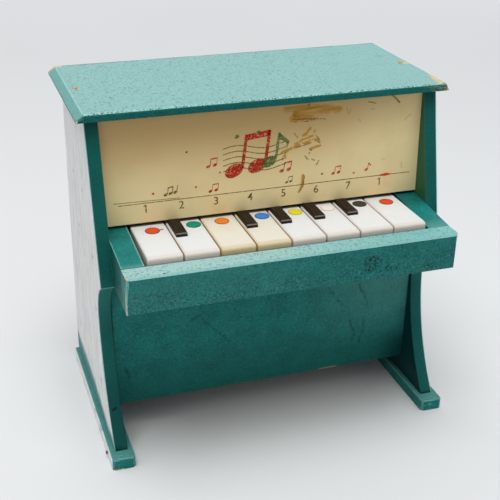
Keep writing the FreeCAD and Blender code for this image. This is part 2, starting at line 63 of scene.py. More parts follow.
# Colours of the case
TEAL = rgb(24, 122, 117)
TEAL_DEEP = rgb(18, 108, 103)
TEAL_PALE = rgb(64, 146, 140)
# Dark teal laid as painted shade on upright and hidden faces, and on the dark joint at the left cheek
TEAL_PAINTED_SHADE_AND_JOINT = rgb(5, 74, 67)
TEAL_INSIDE_PAINTED_SHADE = rgb(54, 98, 66)
# Painted sheen: paler teal laid on tops, standing in for the glossy paint's reflection
TEAL_LID_PAINTED_SHEEN = rgb(137, 182, 178)
TEAL_BEVEL_PAINTED_LIGHT = rgb(94, 152, 146)
TEAL_RAIL_PAINTED_SHEEN_LEFT = rgb(166, 202, 199)
TEAL_RAIL_PAINTED_SHEEN_RIGHT = rgb(132, 189, 185)
TEAL_GREY = rgb(112, 162, 156)
TEAL_SPECK = rgb(86, 140, 134)
TEAL_GLINT = rgb(174, 228, 220)
# Near-black teal of flecks, cracks and dark joints, also laid as painted shade and painted shadow
TEAL_FLECK_AND_SHADE = rgb(3, 44, 46)
WORN_WOOD = rgb(208, 190, 152)
WORN_WOOD_DARK = rgb(180, 154, 112)
WHITE_PAINT = rgb(236, 236, 234)
GREY_GRAIN = rgb(198, 201, 201)
DARK_PORE = rgb(120, 120, 118)
END_GREY = rgb(186, 204, 210)
EDGE_BROWN = rgb(122, 112, 98)
# Dirt, also laid as painted shadow on the fascia
GRIME_AND_SHADOW = rgb(74, 58, 34)
BLACK = (0.0, 0.0, 0.0, 1.0)
HARDBOARD = rgb(112, 78, 50)
HARDBOARD_FIBRE = rgb(142, 102, 68)
HARDBOARD_BLOTCH = rgb(98, 68, 44)
HARDBOARD_SPECK = rgb(74, 50, 32)
PALE_WOOD = rgb(206, 172, 122)
PALE_WOOD_RING = rgb(172, 132, 84)
PALE_WOOD_PORE = rgb(122, 88, 52)

# Colours of the fascia and its print
CREAM = rgb(246, 225, 170)
CREAM_AGED_AND_SHADED = rgb(204, 169, 115)
MUSTARD = rgb(190, 136, 48)
MUSTARD_DARK = rgb(142, 94, 28)
OLIVE = rgb(96, 74, 34)
INK_BROWN = rgb(104, 82, 40)
INK_RED = rgb(188, 44, 30)
INK_BRIGHT = rgb(236, 66, 34)
INK_GREEN = rgb(104, 116, 62)

# Colours of the keys: top, front in painted shade, and painted shade in the gap below
KEY_WHITE = (rgb(226, 228, 229), rgb(217, 203, 191), rgb(84, 64, 52))
KEY_YELLOWED = (rgb(226, 222, 209), rgb(208, 185, 142), rgb(100, 78, 46))

# Colours of the stickers: face and rim, from key 1 to key 8
STICKERS = (
    (rgb(218, 78, 34), rgb(150, 52, 28)),
    (rgb(2, 140, 104), rgb(4, 92, 70)),
    (rgb(232, 126, 36), rgb(168, 92, 30)),
    (rgb(54, 132, 218), rgb(26, 74, 148)),
    (rgb(226, 214, 42), rgb(188, 172, 36)),
    (rgb(236, 231, 226), rgb(228, 198, 190)),
    (rgb(66, 58, 48), rgb(36, 32, 28)),
    (rgb(216, 76, 34), rgb(150, 52, 28)),
)
STICKER_RUBBED = rgb(240, 236, 226)
DOT_SMEAR = rgb(204, 78, 44)

# Colours of caps, hammers, metal and felt
CAP_BROWN = rgb(28, 20, 13)
CAP_MARK = rgb(50, 38, 25)
CAP_NOSE_HIGHLIGHT = rgb(160, 152, 146)
HAMMER_WHITE = rgb(222, 219, 208)
HAMMER_CLOUD = rgb(204, 196, 176)
BAR_LIGHT = rgb(206, 206, 208)
BAR_DARK = rgb(160, 160, 164)
WIRE_LIGHT = rgb(180, 180, 180)
WIRE_DARK = rgb(120, 118, 116)
TARNISH = rgb(104, 84, 62)
NAIL_DARK = rgb(64, 58, 50)
NAIL_LIGHT = rgb(112, 104, 94)
SCREW_PALE = rgb(206, 186, 142)
SCREW_RUBBED = rgb(160, 134, 92)
SCREW_DIRT = rgb(84, 52, 30)
FELT_RED = rgb(112, 22, 22)
FELT_PALE = rgb(164, 44, 38)

# Gloss of paint, print and keys, set on the shader as it is
PAINT_GLOSS = {"Specular_IOR_Level": 0.12}
PRINT_GLOSS = {"Specular_IOR_Level": 0.08}
CAP_GLOSS = {"Specular_IOR_Level": 0.10}
KEY_GLOSS = {"Specular_IOR_Level": 0.35, "Subsurface_Weight": 0.10, "Subsurface_Scale": 0.5 * MM}
FELT_SHEEN = {"Sheen_Weight": 0.5, "Sheen_Roughness": 0.5}

# Sockets of a mix node for the share, the first and the second value
COLOUR_MIX = (0, 6, 7)
NUMBER_MIX = (0, 2, 3)

# Stretch of a noise along x, y and z
EVEN = (1, 1, 1)

# Squiggles: grain of the noise that breaks them, its softness, and the core of a stroke's width
SQUIGGLE_BREAK = 0.8
SQUIGGLE_SOFT = 0.06
SQUIGGLE_CORE = 0.3


class Graph:
    """The shader nodes of a material or of the world."""

    def __init__(self, tree):
        self.tree = tree

    def feed(self, socket, value):
        """Links a socket to another node's output, or sets it."""
        if isinstance(value, bpy.types.NodeSocket):
            self.tree.links.new(value, socket)
        else:
            socket.default_value = value

    def node(self, kind, settings=None, **inputs):
        """A new node. In the name of an input, _ stands for a space."""
        made = self.tree.nodes.new(kind)
        for name, value in (settings or {}).items():
            setattr(made, name, value)
        for name, value in inputs.items():
            self.feed(made.inputs[name.replace("_", " ")], value)
        return made

    def feed_all(self, sockets, values):
        for socket, value in zip(sockets, values):
            self.feed(socket, value)

    def math(self, operation, *values):
        made = self.node("ShaderNodeMath", {"operation": operation})
        self.feed_all(made.inputs, values)
        return made.outputs[0]

    def vector(self, operation, *values, scale=None):
        made = self.node("ShaderNodeVectorMath", {"operation": operation})
        self.feed_all(made.inputs, values)
        if scale is not None:
            self.feed(made.inputs["Scale"], scale)
        single = operation in ("LENGTH", "DISTANCE", "DOT_PRODUCT")
        return made.outputs["Value" if single else "Vector"]

    def mix(self, share, first, second):
        """The first colour where the share is 0 and the second where it is 1."""
        made = self.node("ShaderNodeMix", {"data_type": "RGBA"})
        self.feed_all([made.inputs[socket] for socket in COLOUR_MIX], (share, first, second))
        return made.outputs[2]

    def step(self, value, start, full):
        """0 at start and 1 at full, smooth between them; full may be the smaller."""
        made = self.node("ShaderNodeMapRange", {"interpolation_type": "SMOOTHSTEP"},
                         Value=value, From_Min=start, From_Max=full)
        return made.outputs[0]

    def both(self, *masks):
        made = masks[0]
        for mask in masks[1:]:
            made = self.math("MULTIPLY", made, mask)
        return made

    def either(self, *masks):
        made = masks[0]
        for mask in masks[1:]:
            made = self.math("MAXIMUM", made, mask)
        return made

    def shown_directly(self):
        """1 for rays from the camera, in reflections and through clear things, 0 for light itself."""
        rays = self.node("ShaderNodeLightPath").outputs
        return self.either(*[rays[f"Is {kind} Ray"] for kind in ("Camera", "Glossy", "Transmission")])


class Surface(Graph):
    """The nodes of one material. Places are in millimetres in the part frame."""

    def __init__(self, name):
        self.material = bpy.data.materials.new(name)
        self.material.use_nodes = True
        super().__init__(self.material.node_tree)
        self.shader = self.tree.nodes["Principled BSDF"]
        where = self.node("ShaderNodeTexCoord").outputs["Object"]
        self.place = self.vector("SCALE", where, scale=1 / MM)
        self.x, self.y, self.z = self.node("ShaderNodeSeparateXYZ", Vector=self.place).outputs
        self.colour = self.roughness = self.height = None

    def tint(self, colour, paint, *masks, share):
        """The colour with that share of paint over it, where all the masks are 1."""
        return self.mix(self.both(*masks, share), colour, paint)

    def paint(self, colour, *masks, share=1.0):
        """Lays that share of a colour over the surface, where all the masks are 1."""
        self.colour = self.tint(self.colour, colour, *masks, share=share)

    def grain(self, first, second, start, full, **noise):
        """Colour and relief from noise: the first colour where it is below start, the second above full."""
        self.height = self.noise(**noise)
        self.colour = self.mix(self.step(self.height, start, full), first, second)

    def vary(self, mask, base, rise):
        """A number that is base where the mask is 0 and rises from there with the mask."""
        return self.math("ADD", base, self.both(mask, rise))

    def near(self, value, edge, start, full):
        """A step whose start and full are distances from an edge, negative below it."""
        return self.step(value, edge + start, edge + full)

    def band(self, value, low, high, soft):
        """1 between low and high, falling to 0 over the soft width outside them."""
        return self.both(self.step(value, low - soft, low), self.step(value, high + soft, high))

    def noise(self, size, detail=2, stretch=EVEN, seed=0):
        """Cloudy noise of about that grain size, longer along the stretched axes."""
        place = self.vector("DIVIDE", self.place, stretch)
        made = self.node("ShaderNodeTexNoise", {"noise_dimensions": "4D"},
                         Vector=place, W=seed, Scale=1 / size, Detail=detail)
        return made.outputs[0]

    def specks(self, size, start, full, detail=2, stretch=EVEN, seed=0):
        """Mask from noise of that grain size: 0 where the noise is below start and 1 above full."""
        return self.step(self.noise(size, detail, stretch, seed), start, full)

    def ragged(self, size, amount):
        """The place, pushed about by noise, which gives a mask a ragged edge."""
        made = self.node("ShaderNodeTexNoise", Vector=self.place, Scale=1 / size, Detail=3.0)
        push = self.vector("SUBTRACT", made.outputs[1], (0.5, 0.5, 0.5))
        return self.vector("ADD", self.place, self.vector("SCALE", push, scale=amount))

    def squiggles(self, size, width, cover, seed):
        """Short winding strokes, as in wrinkled paint: contours of one noise, broken by another."""
        height = self.noise(size, detail=1, seed=seed)
        contour = self.math("ABSOLUTE", self.math("SUBTRACT", height, 0.5))
        gate = self.specks(size * SQUIGGLE_BREAK, cover, cover + SQUIGGLE_SOFT, detail=1, seed=seed + 1)
        return self.both(self.step(contour, start=width, full=width * SQUIGGLE_CORE), gate)

    def spot(self, centre, radius, soft, place=None):
        """1 within the radius of a point, falling to 0 over the soft width."""
        gap = self.vector("DISTANCE", place or self.place, centre)
        return self.step(gap, radius + soft, radius)

    def stroke(self, start, end, radius, soft, place=None):
        """1 within the radius of the line between two points."""
        along = Vector(end) - Vector(start)
        offset = self.vector("SUBTRACT", place or self.place, start)
        reach = self.vector("DOT_PRODUCT", offset, along)
        share = self.node("ShaderNodeMapRange", Value=reach, From_Max=along.length_squared).outputs[0]
        nearest = self.vector("SCALE", tuple(along), scale=share)
        return self.step(self.vector("DISTANCE", offset, nearest), radius + soft, radius)

    def strokes(self, points, radius, soft, place=None):
        """A stroke through several points."""
        return self.either(*[self.stroke(a, b, radius, soft, place) for a, b in zip(points, points[1:])])

    def from_middle(self):
        """Distance from the part's middle, the same to the left and to the right."""
        return self.math("ABSOLUTE", self.x)

    def left_half(self):
        return self.step(self.x, start=0.0, full=-1.0)

    def right_half(self):
        return self.step(self.x, start=0.0, full=1.0)

    def normal(self):
        return self.node("ShaderNodeNewGeometry").outputs["Normal"]

    def facing_up(self):
        """1 on faces that look up, 0 on upright ones."""
        up = self.node("ShaderNodeSeparateXYZ", Vector=self.normal()).outputs[2]
        return self.step(up, start=0.55, full=0.85)

    def arrises(self):
        """1 on the narrow rounding between faces, 0 on faces square to an axis."""
        sides = self.node("ShaderNodeSeparateXYZ", Vector=self.vector("ABSOLUTE", self.normal())).outputs
        return self.step(self.either(*sides), start=0.96, full=0.84)

    def finish(self, depth, **inputs):
        """Feeds the shader; depth is the relief in millimetres of a height from 0 to 1."""
        self.feed(self.shader.inputs["Base Color"], self.colour)
        if self.height:
            bump = self.node("ShaderNodeBump", Distance=depth * MM, Height=self.height)
            self.feed(self.shader.inputs["Normal"], bump.outputs[0])
        for name, value in inputs.items():
            self.feed(self.shader.inputs[name.replace("_", " ")], value)
        return self.material


# Paint and wood that several materials share
BARE_ROUGHNESS = 0.35
BARE_DEPTH = 1.5


def teal_coat(g, size, width, cover, share, painted_sheen=None):
    """Teal paint with faint clouds, fine grain and short dark wrinkles of that size, with a painted sheen on
    top where a colour says so."""
    g.colour = g.mix(g.specks(size=14, start=0.34, full=0.66, detail=4), TEAL_DEEP, TEAL)
    grain = g.specks(size=1.2, start=0.46, full=0.72, detail=3, seed=2)
    g.paint(TEAL_PALE, grain, share=0.45)
    # Painted sheen on faces that look up
    if painted_sheen:
        g.paint(painted_sheen, g.facing_up(), share=0.88)
    pits = g.specks(size=1.1, start=0.60, full=0.70, seed=4)
    flecks = g.either(g.squiggles(size, width, cover, seed=5), g.both(pits, 0.5))
    g.paint(TEAL_FLECK_AND_SHADE, flecks, share=share)
    g.roughness = g.vary(g.noise(size=3, detail=3, seed=9), base=0.34, rise=0.22)
    g.height = g.math("SUBTRACT", g.both(grain, 0.6), flecks)


def bare(g, mask):
    """Wears the mask's places down to the wood, which has its grain along the width."""
    grain = g.specks(size=0.9, start=0.45, full=0.75, detail=3, stretch=(9, 1, 1), seed=14)
    g.paint(g.mix(grain, WORN_WOOD, WORN_WOOD_DARK), mask)
    g.roughness = g.vary(mask, base=g.roughness, rise=BARE_ROUGHNESS)
    g.height = g.math("SUBTRACT", g.height, g.both(mask, BARE_DEPTH))


def painted(g, depth):
    """The finished coat, with relief of that depth."""
    return g.finish(depth, Roughness=g.roughness, **PAINT_GLOSS)


# Lid
LID_LOW, LID_HIGH = box_mm("top_board")
LID_ROUND = 1.6
LID_BEVEL = 4.6
LID_END_FLAT = 1.2
LID_WEDGE_BACK = (117.9, 5.0)
LID_WEDGE_FRONT = (111.6, -22.8)
LID_WEDGE_END = -25.6
LID_SMUDGE = (105.2, 46.6)
LID_SCRATCHED_X = (98.0, 112.0)
LID_SPOTTED_X = (90.0, -60.0)
LID_SPARSE_X = (0.0, 110.0)
SCREW_LOW, SCREW_HIGH = box_mm("lid_screws")
SCREW_HEAD_RADIUS = 2.4
SCREW_PLACES = (SCREW_LOW.x + SCREW_HEAD_RADIUS, SCREW_HIGH.x - SCREW_HEAD_RADIUS)
SCREW_Y = (SCREW_LOW.y + SCREW_HIGH.y) / 2


def lid_wedge(g):
    """Mask of the bare wedge along the lid's right edge."""
    torn = g.ragged(size=3, amount=4.5)
    run = Vector(LID_WEDGE_FRONT) - Vector(LID_WEDGE_BACK)
    outward = Vector((-run.y, run.x, 0)).normalized()
    depth = g.vector("DOT_PRODUCT", g.vector("SUBTRACT", torn, (*LID_WEDGE_BACK, LID_HIGH.z)), outward)
    return g.both(g.step(depth, start=-1.0, full=1.2), g.near(g.y, LID_WEDGE_END, start=-0.6, full=0.0), 0.9)


def lid_wear(g):
    """Mask of the lid's bare places: around the screws, the worn right edge and the corners."""
    low, high, top = LID_LOW, LID_HIGH, LID_HIGH.z
    edge = g.ragged(size=1.6, amount=1.8)
    around = [g.spot((x, SCREW_Y, top), SCREW_HEAD_RADIUS + 0.3, soft=0.5, place=edge) for x in SCREW_PLACES]
    # Each run has two ends, a radius and a soft width
    runs = (((SCREW_PLACES[1], SCREW_Y - 0.8, top), (high.x, SCREW_Y - 3.6, top), 1.5, 0.6),
            ((low.x, low.y, low.z), (low.x + 2.0, low.y, top - 1.0), 0.5, 0.4),
            ((low.x, high.y, low.z), (low.x + 7.0, high.y, top), 2.2, 0.8),
            ((high.x, low.y, low.z), (high.x, low.y + 4.0, top), 1.3, 0.6))
    worn = [g.stroke(start, end, radius, soft, edge) for start, end, radius, soft in runs]
    corner = g.both(g.step(g.x, *LID_SCRATCHED_X), g.near(g.y, low.y, start=1.0, full=0.4), 0.3)
    marks = g.specks(size=1, start=0.50, full=0.58, detail=3, stretch=(5, 1, 1), seed=30)
    return g.either(*around, *worn, lid_wedge(g), g.both(corner, marks))


def lid_front(g):
    """The lid's front edge: a nose with a painted highlight, full of dark flecks, above a face in painted
    shade.
    """
    low, high = LID_LOW, LID_HIGH
    face = g.both(g.near(g.y, low.y, start=0.9, full=0.5), g.near(g.z, high.z, start=-0.35, full=-0.75))
    # Painted shade on the upright front face
    g.paint(TEAL_PAINTED_SHADE_AND_JOINT, face, share=0.55)
    g.paint(EDGE_BROWN, face, g.near(g.x, high.x, start=-4.5, full=-2.5), share=0.6)
    spots = g.squiggles(size=1.3, width=0.10, cover=0.50, seed=23)
    g.paint(TEAL_FLECK_AND_SHADE, face, spots, g.step(g.x, *LID_SPOTTED_X), share=0.6)
    nose = g.both(g.near(g.y, low.y, start=5.0, full=LID_ROUND), g.near(g.z, high.z, start=-0.6, full=-0.3))
    # Painted highlight on the rounded nose
    g.paint(TEAL_GLINT, nose, share=0.40)
    g.paint(TEAL_FLECK_AND_SHADE, nose, g.squiggles(size=1.4, width=0.11, cover=0.45, seed=21), share=0.85)


def lid_left(g):
    """The lid's left end: a bevel lightened with painted light, and a painted highlight on the arris above
    it.
    """
    bevel_x = LID_LOW.x + LID_BEVEL
    end_top = LID_LOW.z + LID_END_FLAT
    bevel = g.both(g.near(g.x, bevel_x, start=0.2, full=-0.1), g.near(g.z, end_top, start=-0.2, full=0.2))
    g.paint(TEAL_BEVEL_PAINTED_LIGHT, bevel, share=0.8)
    # Painted highlight along the arris
    arris = g.band(g.x, bevel_x - 0.3, bevel_x + 0.2, soft=0.3)
    g.paint(TEAL_GLINT, arris, g.near(g.z, LID_HIGH.z, start=-0.6, full=-0.2), share=0.4)


def lid_paint():
    """Top paler from a painted sheen, with flecks that thin out to the right, and a worn rear edge."""
    g = Surface("lid_paint")
    share = g.vary(g.step(g.x, *LID_SPARSE_X), base=0.64, rise=-0.34)
    teal_coat(g, size=1.6, width=0.08, cover=0.56, share=share, painted_sheen=TEAL_LID_PAINTED_SHEEN)
    lid_left(g)
    lid_front(g)
    patches = g.specks(size=6, start=0.40, full=0.58, detail=3, stretch=(3, 1, 1), seed=33)
    g.paint(EDGE_BROWN, g.near(g.y, LID_HIGH.y, start=-2.6, full=-1.2), patches, share=0.6)
    smudge = g.spot((*LID_SMUDGE, LID_HIGH.z), radius=1.2, soft=3.0)
    g.paint(GRIME_AND_SHADOW, smudge, g.specks(size=1.5, start=0.40, full=0.60, seed=32), share=0.4)
    bare(g, lid_wear(g))
    return painted(g, depth=0.12)


# Front key rail
RAIL_LOW, RAIL_HIGH = box_mm("key_rail")
RAIL_PATCHES = (((47.4, 129.5), 5.2), ((58.5, 125.0), 2.0), ((64.5, 124.2), 1.5))
RAIL_HOLE_SHADE = (-82.5, -80.5)
RAIL_SHEEN_X = (-40.0, 80.0)
RAIL_GREY_X = (40.0, -40.0)
RAIL_LOWER_Z = (138.0, 122.0)
RAIL_END_Y = (-77.0, -79.5)
RAIL_END_Z = (139.0, 126.0)


def rail_front(g):
    """The rail's front: pale specks, denser flecks low down and crackled patches."""
    lower = g.step(g.z, *RAIL_LOWER_Z)
    front = g.near(g.y, RAIL_LOW.y, start=2.6, full=2.2)
    pale = g.specks(size=1.1, start=0.54, full=0.64, seed=40)
    g.paint(TEAL_SPECK, front, pale, share=g.vary(lower, base=0.22, rise=0.28))
    g.paint(TEAL_GREY, front, g.step(g.x, *RAIL_GREY_X), share=0.08)
    g.paint(TEAL_FLECK_AND_SHADE, lower, g.squiggles(size=1.5, width=0.10, cover=0.50, seed=42), share=0.5)
    edge = g.ragged(size=2.5, amount=4)
    patches = [g.spot((x, RAIL_LOW.y, z), radius, soft=2.0, place=edge) for (x, z), radius in RAIL_PATCHES]
    crackle = g.squiggles(size=1.4, width=0.12, cover=0.42, seed=44)
    g.paint(TEAL_FLECK_AND_SHADE, g.either(*patches), crackle, share=0.9)


def rail_paint():
    """Paler on top from a painted sheen, with painted highlights on the arrises, a worn left corner and a
    grey left end.
    """
    g = Surface("rail_paint")
    low, high = RAIL_LOW, RAIL_HIGH
    # Painted sheen on the top, paler to the left
    painted_sheen = g.mix(g.step(g.x, *RAIL_SHEEN_X), TEAL_RAIL_PAINTED_SHEEN_LEFT, TEAL_RAIL_PAINTED_SHEEN_RIGHT)
    teal_coat(g, size=1.7, width=0.09, cover=0.53, share=0.5, painted_sheen=painted_sheen)
    rail_front(g)
    # A black spot painted as the shade inside a small hole in the top
    g.paint(BLACK, g.spot((*RAIL_HOLE_SHADE, high.z), radius=0.5, soft=0.2))
    # Painted highlight on the rounded edges
    g.paint(TEAL_GLINT, g.arrises(), share=0.35)
    corner = [(low.x, low.y + 3.0, high.z), (low.x, low.y, high.z), (low.x, low.y + 1.8, low.z)]
    tip = (low.x + 0.8, low.y + 0.9, high.z)
    bare(g, g.either(g.strokes(corner, radius=0.35, soft=0.35, place=g.ragged(size=1.4, amount=0.9)),
                     g.spot(tip, radius=0.8, soft=0.6, place=g.ragged(size=1.4, amount=1.6))))
    end = g.near(g.x, low.x, start=0.35, full=0.15)
    g.paint(END_GREY, end, g.step(g.z, *RAIL_END_Z), g.step(g.y, *RAIL_END_Y), share=0.75)
    return painted(g, depth=0.06)


# Key cheeks
CHEEK_LOW, CHEEK_HIGH = box_mm("left_cheek")
CHEEK_REAR_SHADE_Y = (-46.0, -30.0)
CHEEK_LEFT_SHEEN_Y = (-63.0, -69.0)
CHEEK_RIGHT_SHEEN_Y = (-54.0, -72.0)


def cheek_paint():
    """Lighter on top at the front from a painted reflection, with painted highlights on the edges. The left
    cheek has painted highlights on its rims, painted shade on its outer side and a dark joint at the rail;
    the right one painted shade at the rear."""
    g = Surface("cheek_paint")
    teal_coat(g, size=1.6, width=0.08, cover=0.57, share=0.4)
    left, right, top, out = g.left_half(), g.right_half(), g.facing_up(), g.from_middle()
    # Painted shade at the rear of the right cheek
    g.paint(TEAL_PAINTED_SHADE_AND_JOINT, right, g.step(g.y, *CHEEK_REAR_SHADE_Y), share=0.45)
    # Painted reflection on the tops at the front
    g.paint(TEAL_RAIL_PAINTED_SHEEN_RIGHT, left, g.step(g.y, *CHEEK_LEFT_SHEEN_Y), top, share=0.3)
    g.paint(TEAL_RAIL_PAINTED_SHEEN_RIGHT, right, g.step(g.y, *CHEEK_RIGHT_SHEEN_Y), top, share=0.3)
    # Painted highlights on the edges and on the left cheek's rims
    g.paint(TEAL_GLINT, g.arrises(), share=0.5)
    rims = g.either(g.near(out, -CHEEK_HIGH.x, start=1.0, full=0.5),
                    g.near(out, -CHEEK_LOW.x, start=-1.0, full=-0.5))
    g.paint(TEAL_GLINT, rims, left, top, share=0.32)
    # Painted shade on the left cheek's outer side
    g.paint(TEAL_PAINTED_SHADE_AND_JOINT, g.near(g.x, CHEEK_LOW.x, start=0.4, full=0.2), share=0.85)
    g.paint(TEAL_PAINTED_SHADE_AND_JOINT, left, g.near(g.y, CHEEK_LOW.y, start=0.9, full=0.5), share=0.75)
    return painted(g, depth=0.08)


# Lower front panel
PANEL_SHADE_Z = (70.0, 21.0)
PANEL_PAINTED_LIGHT_X = (10.0, 90.0)
PANEL_PAINTED_LIGHT_Z = (30.0, 80.0)
PANEL_SHADOW_CORNER_X = (74.0, 104.0)
PANEL_SHADOW_CORNER_Z = (50.0, 24.0)
PANEL_CRACKS = (
    ((66.9, 84.0), (71.8, 75.2), (73.4, 67.4)),
    ((73.2, 58.2), (72.8, 51.3), (71.4, 44.1), (69.8, 38.0)),
    ((61.6, 57.7), (65.2, 47.2), (64.2, 41.2)),
    ((45.1, 84.4), (50.2, 77.1), (54.4, 70.5)),
    ((-55.5, 73.3), (-49.5, 77.8), (-44.5, 81.5)),
    ((-46.8, 80.4), (-41.4, 72.4), (-35.8, 65.7), (-26.4, 56.3)),
    ((-97.7, 47.6), (-95.7, 40.9)),
    ((-91.2, 40.1), (-90.3, 43.5)),
)
PANEL_CHIP = ((40.5, 21.2), (53.0, 21.2))


def panel_paint():
    """Painted shade towards the floor, painted light to the right and a painted shadow in the lower right
    corner, with hairline cracks, a chip and a dark joint at the ends.
    """
    g = Surface("panel_paint")
    low, high = box_mm("lower_front_panel")
    teal_coat(g, size=1.7, width=0.08, cover=0.55, share=0.42)
    # Painted shade towards the floor
    g.paint(TEAL_PAINTED_SHADE_AND_JOINT, g.step(g.z, *PANEL_SHADE_Z), share=0.55)
    # Painted light on the right
    g.paint(TEAL_GREY, g.step(g.x, *PANEL_PAINTED_LIGHT_X), g.step(g.z, *PANEL_PAINTED_LIGHT_Z), share=0.22)
    # Painted shadow in the lower right corner
    g.paint(TEAL_FLECK_AND_SHADE, g.step(g.x, *PANEL_SHADOW_CORNER_X), g.step(g.z, *PANEL_SHADOW_CORNER_Z), share=0.7)
    wander = g.ragged(size=6, amount=4)
    cracks = [g.strokes([(x, low.y, z) for x, z in crack], radius=0.4, soft=1.3, place=wander)
              for crack in PANEL_CRACKS]
    broken = g.specks(size=3, start=0.34, full=0.56, seed=50)
    g.paint(TEAL_FLECK_AND_SHADE, g.either(*cracks), broken, share=0.48)
    g.paint(TEAL_FLECK_AND_SHADE, g.near(g.from_middle(), high.x, start=-1.2, full=-0.4), share=0.85)
    edge = g.ragged(size=2, amount=1)
    chip = g.strokes([(x, low.y, z) for x, z in PANEL_CHIP], radius=0.25, soft=0.4, place=edge)
    bare(g, g.both(chip, 0.55))
    return painted(g, depth=0.08)


# Side panels
SIDE_INNER, SIDE_OUTER = (corner.x for corner in box_mm("right_side_panel"))
SHOULDER_Z = 118.0
SHOULDER_Y = -21.0
UPPER_LEG_LIGHT_Z = (76.0, 102.0)
LOWER_LEG_SHADE_Z = (60.0, 32.0)
FOOT_JOINT_Z = (9.6, 8.6)
LID_SHADE = 14.0
INSIDE_SHADE_Z = (118.0, 104.0)
NICKED_Z = (110.0, 120.0)
SHADED_LEG_DENT = ((-110.4, 0.0, 30.0), (-108.6, 0.0, 30.9))
SHADED_LEG_DENT_Y = (-30.0, -35.0)
SMEAR_Y = (-56.0, 20.0)
SMEAR_RISE = 9.0
SMEAR_BUMPS = 8.0
SMEAR_BRISTLES = 8.0
SMEAR_FADE = 9.0


def white_side(g):
    """White paint with fine upright streaks and pores, smeared with teal above the foot."""
    streaks = g.noise(size=1.1, detail=4, stretch=(1, 1, 30), seed=62)
    white = g.mix(g.step(streaks, start=0.48, full=0.78), WHITE_PAINT, GREY_GRAIN)
    blotches = g.specks(size=8, start=0.48, full=0.70, detail=3, stretch=(1, 1, 3), seed=63)
    white = g.tint(white, GREY_GRAIN, blotches, share=0.45)
    pores = g.specks(size=1.2, start=0.64, full=0.72, stretch=(1, 1, 7), seed=64)
    white = g.tint(white, DARK_PORE, pores, share=0.55)
    rise = g.both(g.step(g.y, *SMEAR_Y), SMEAR_RISE)
    bumps = g.both(g.noise(size=22, seed=66), SMEAR_BUMPS)
    bristles = g.both(g.noise(size=1, detail=4, stretch=(1, 1, 24), seed=68), SMEAR_BRISTLES)
    edge = g.math("ADD", g.math("ADD", rise, bumps), bristles)
    smear = g.step(g.math("SUBTRACT", g.z, edge), start=SMEAR_FADE, full=0.0)
    return g.tint(white, TEAL, smear, share=0.9), streaks


def side_edges(g):
    """Painted light and shade on a side panel's front edge: painted light on the upper leg, painted shade on
    the lower left leg, a painted shadow under the lid, and a dark joint at the foot.
    """
    # Painted light on the upper leg
    g.paint(TEAL_PALE, g.step(g.z, *UPPER_LEG_LIGHT_Z), g.near(g.z, SHOULDER_Z, start=0.6, full=-0.4), share=0.28)
    # Painted shade on the lower left leg
    g.paint(TEAL_FLECK_AND_SHADE, g.left_half(), g.step(g.z, *LOWER_LEG_SHADE_Z), share=0.5)
    # Painted shadow under the lid; the dark line at the foot is a joint
    lid_shadow = g.both(g.near(g.z, LID_LOW.z, start=-LID_SHADE, full=0.0), 0.6)
    at_foot = g.both(g.step(g.z, *FOOT_JOINT_Z), 0.8)
    g.paint(TEAL_FLECK_AND_SHADE, g.either(lid_shadow, at_foot))


def side_inside(g):
    """Painted shade on a side panel's inner face, darkest below the tray, with nicks down to the wood beside
    the fascia.
    """
    inside = g.near(g.from_middle(), SIDE_INNER, start=0.45, full=0.2)
    # Painted shade on the inner face
    g.paint(g.mix(g.step(g.z, *INSIDE_SHADE_Z), TEAL_INSIDE_PAINTED_SHADE, TEAL_FLECK_AND_SHADE), inside, share=0.8)
    nicks = g.specks(size=3, start=0.70, full=0.72, detail=3, seed=60)
    g.paint(WORN_WOOD, inside, nicks, g.step(g.z, *NICKED_Z), share=0.7)


def side_paint():
    """White outside; the teal edges and inside in painted shade, with painted highlights on the outer edge
    and the shoulder.
    """
    g = Surface("side_paint")
    out = g.from_middle()
    teal_coat(g, size=1.8, width=0.08, cover=0.58, share=0.4)
    # Painted shade over all the teal
    g.paint(TEAL_PAINTED_SHADE_AND_JOINT, share=0.72)
    side_edges(g)
    side_inside(g)
    # A black dent painted in shade on the left leg
    across = g.node("ShaderNodeCombineXYZ", X=g.x, Z=g.z).outputs[0]
    dent_shade = g.stroke(*SHADED_LEG_DENT, radius=0.4, soft=0.6, place=across)
    g.paint(BLACK, dent_shade, g.step(g.y, *SHADED_LEG_DENT_Y), share=0.8)
    # Painted highlight along the outer edge
    g.paint(TEAL_GLINT, g.near(out, SIDE_OUTER, start=-0.75, full=-0.45), share=0.6)
    # Painted highlight on the shoulder
    shoulder = g.band(g.z, SHOULDER_Z - 0.8, SHOULDER_Z + 0.2, soft=0.5)
    g.paint(TEAL_GLINT, shoulder, g.near(g.y, SHOULDER_Y, start=0.0, full=-1.0), share=0.28)
    white, streaks = white_side(g)
    outside = g.near(out, SIDE_OUTER, start=-0.3, full=-0.12)
    g.paint(white, outside)
    g.roughness = g.vary(outside, base=g.roughness, rise=0.15)
    g.height = g.mix(outside, g.height, streaks)
    return painted(g, depth=0.08)


# Feet
SOLE_CHIP = 7.0


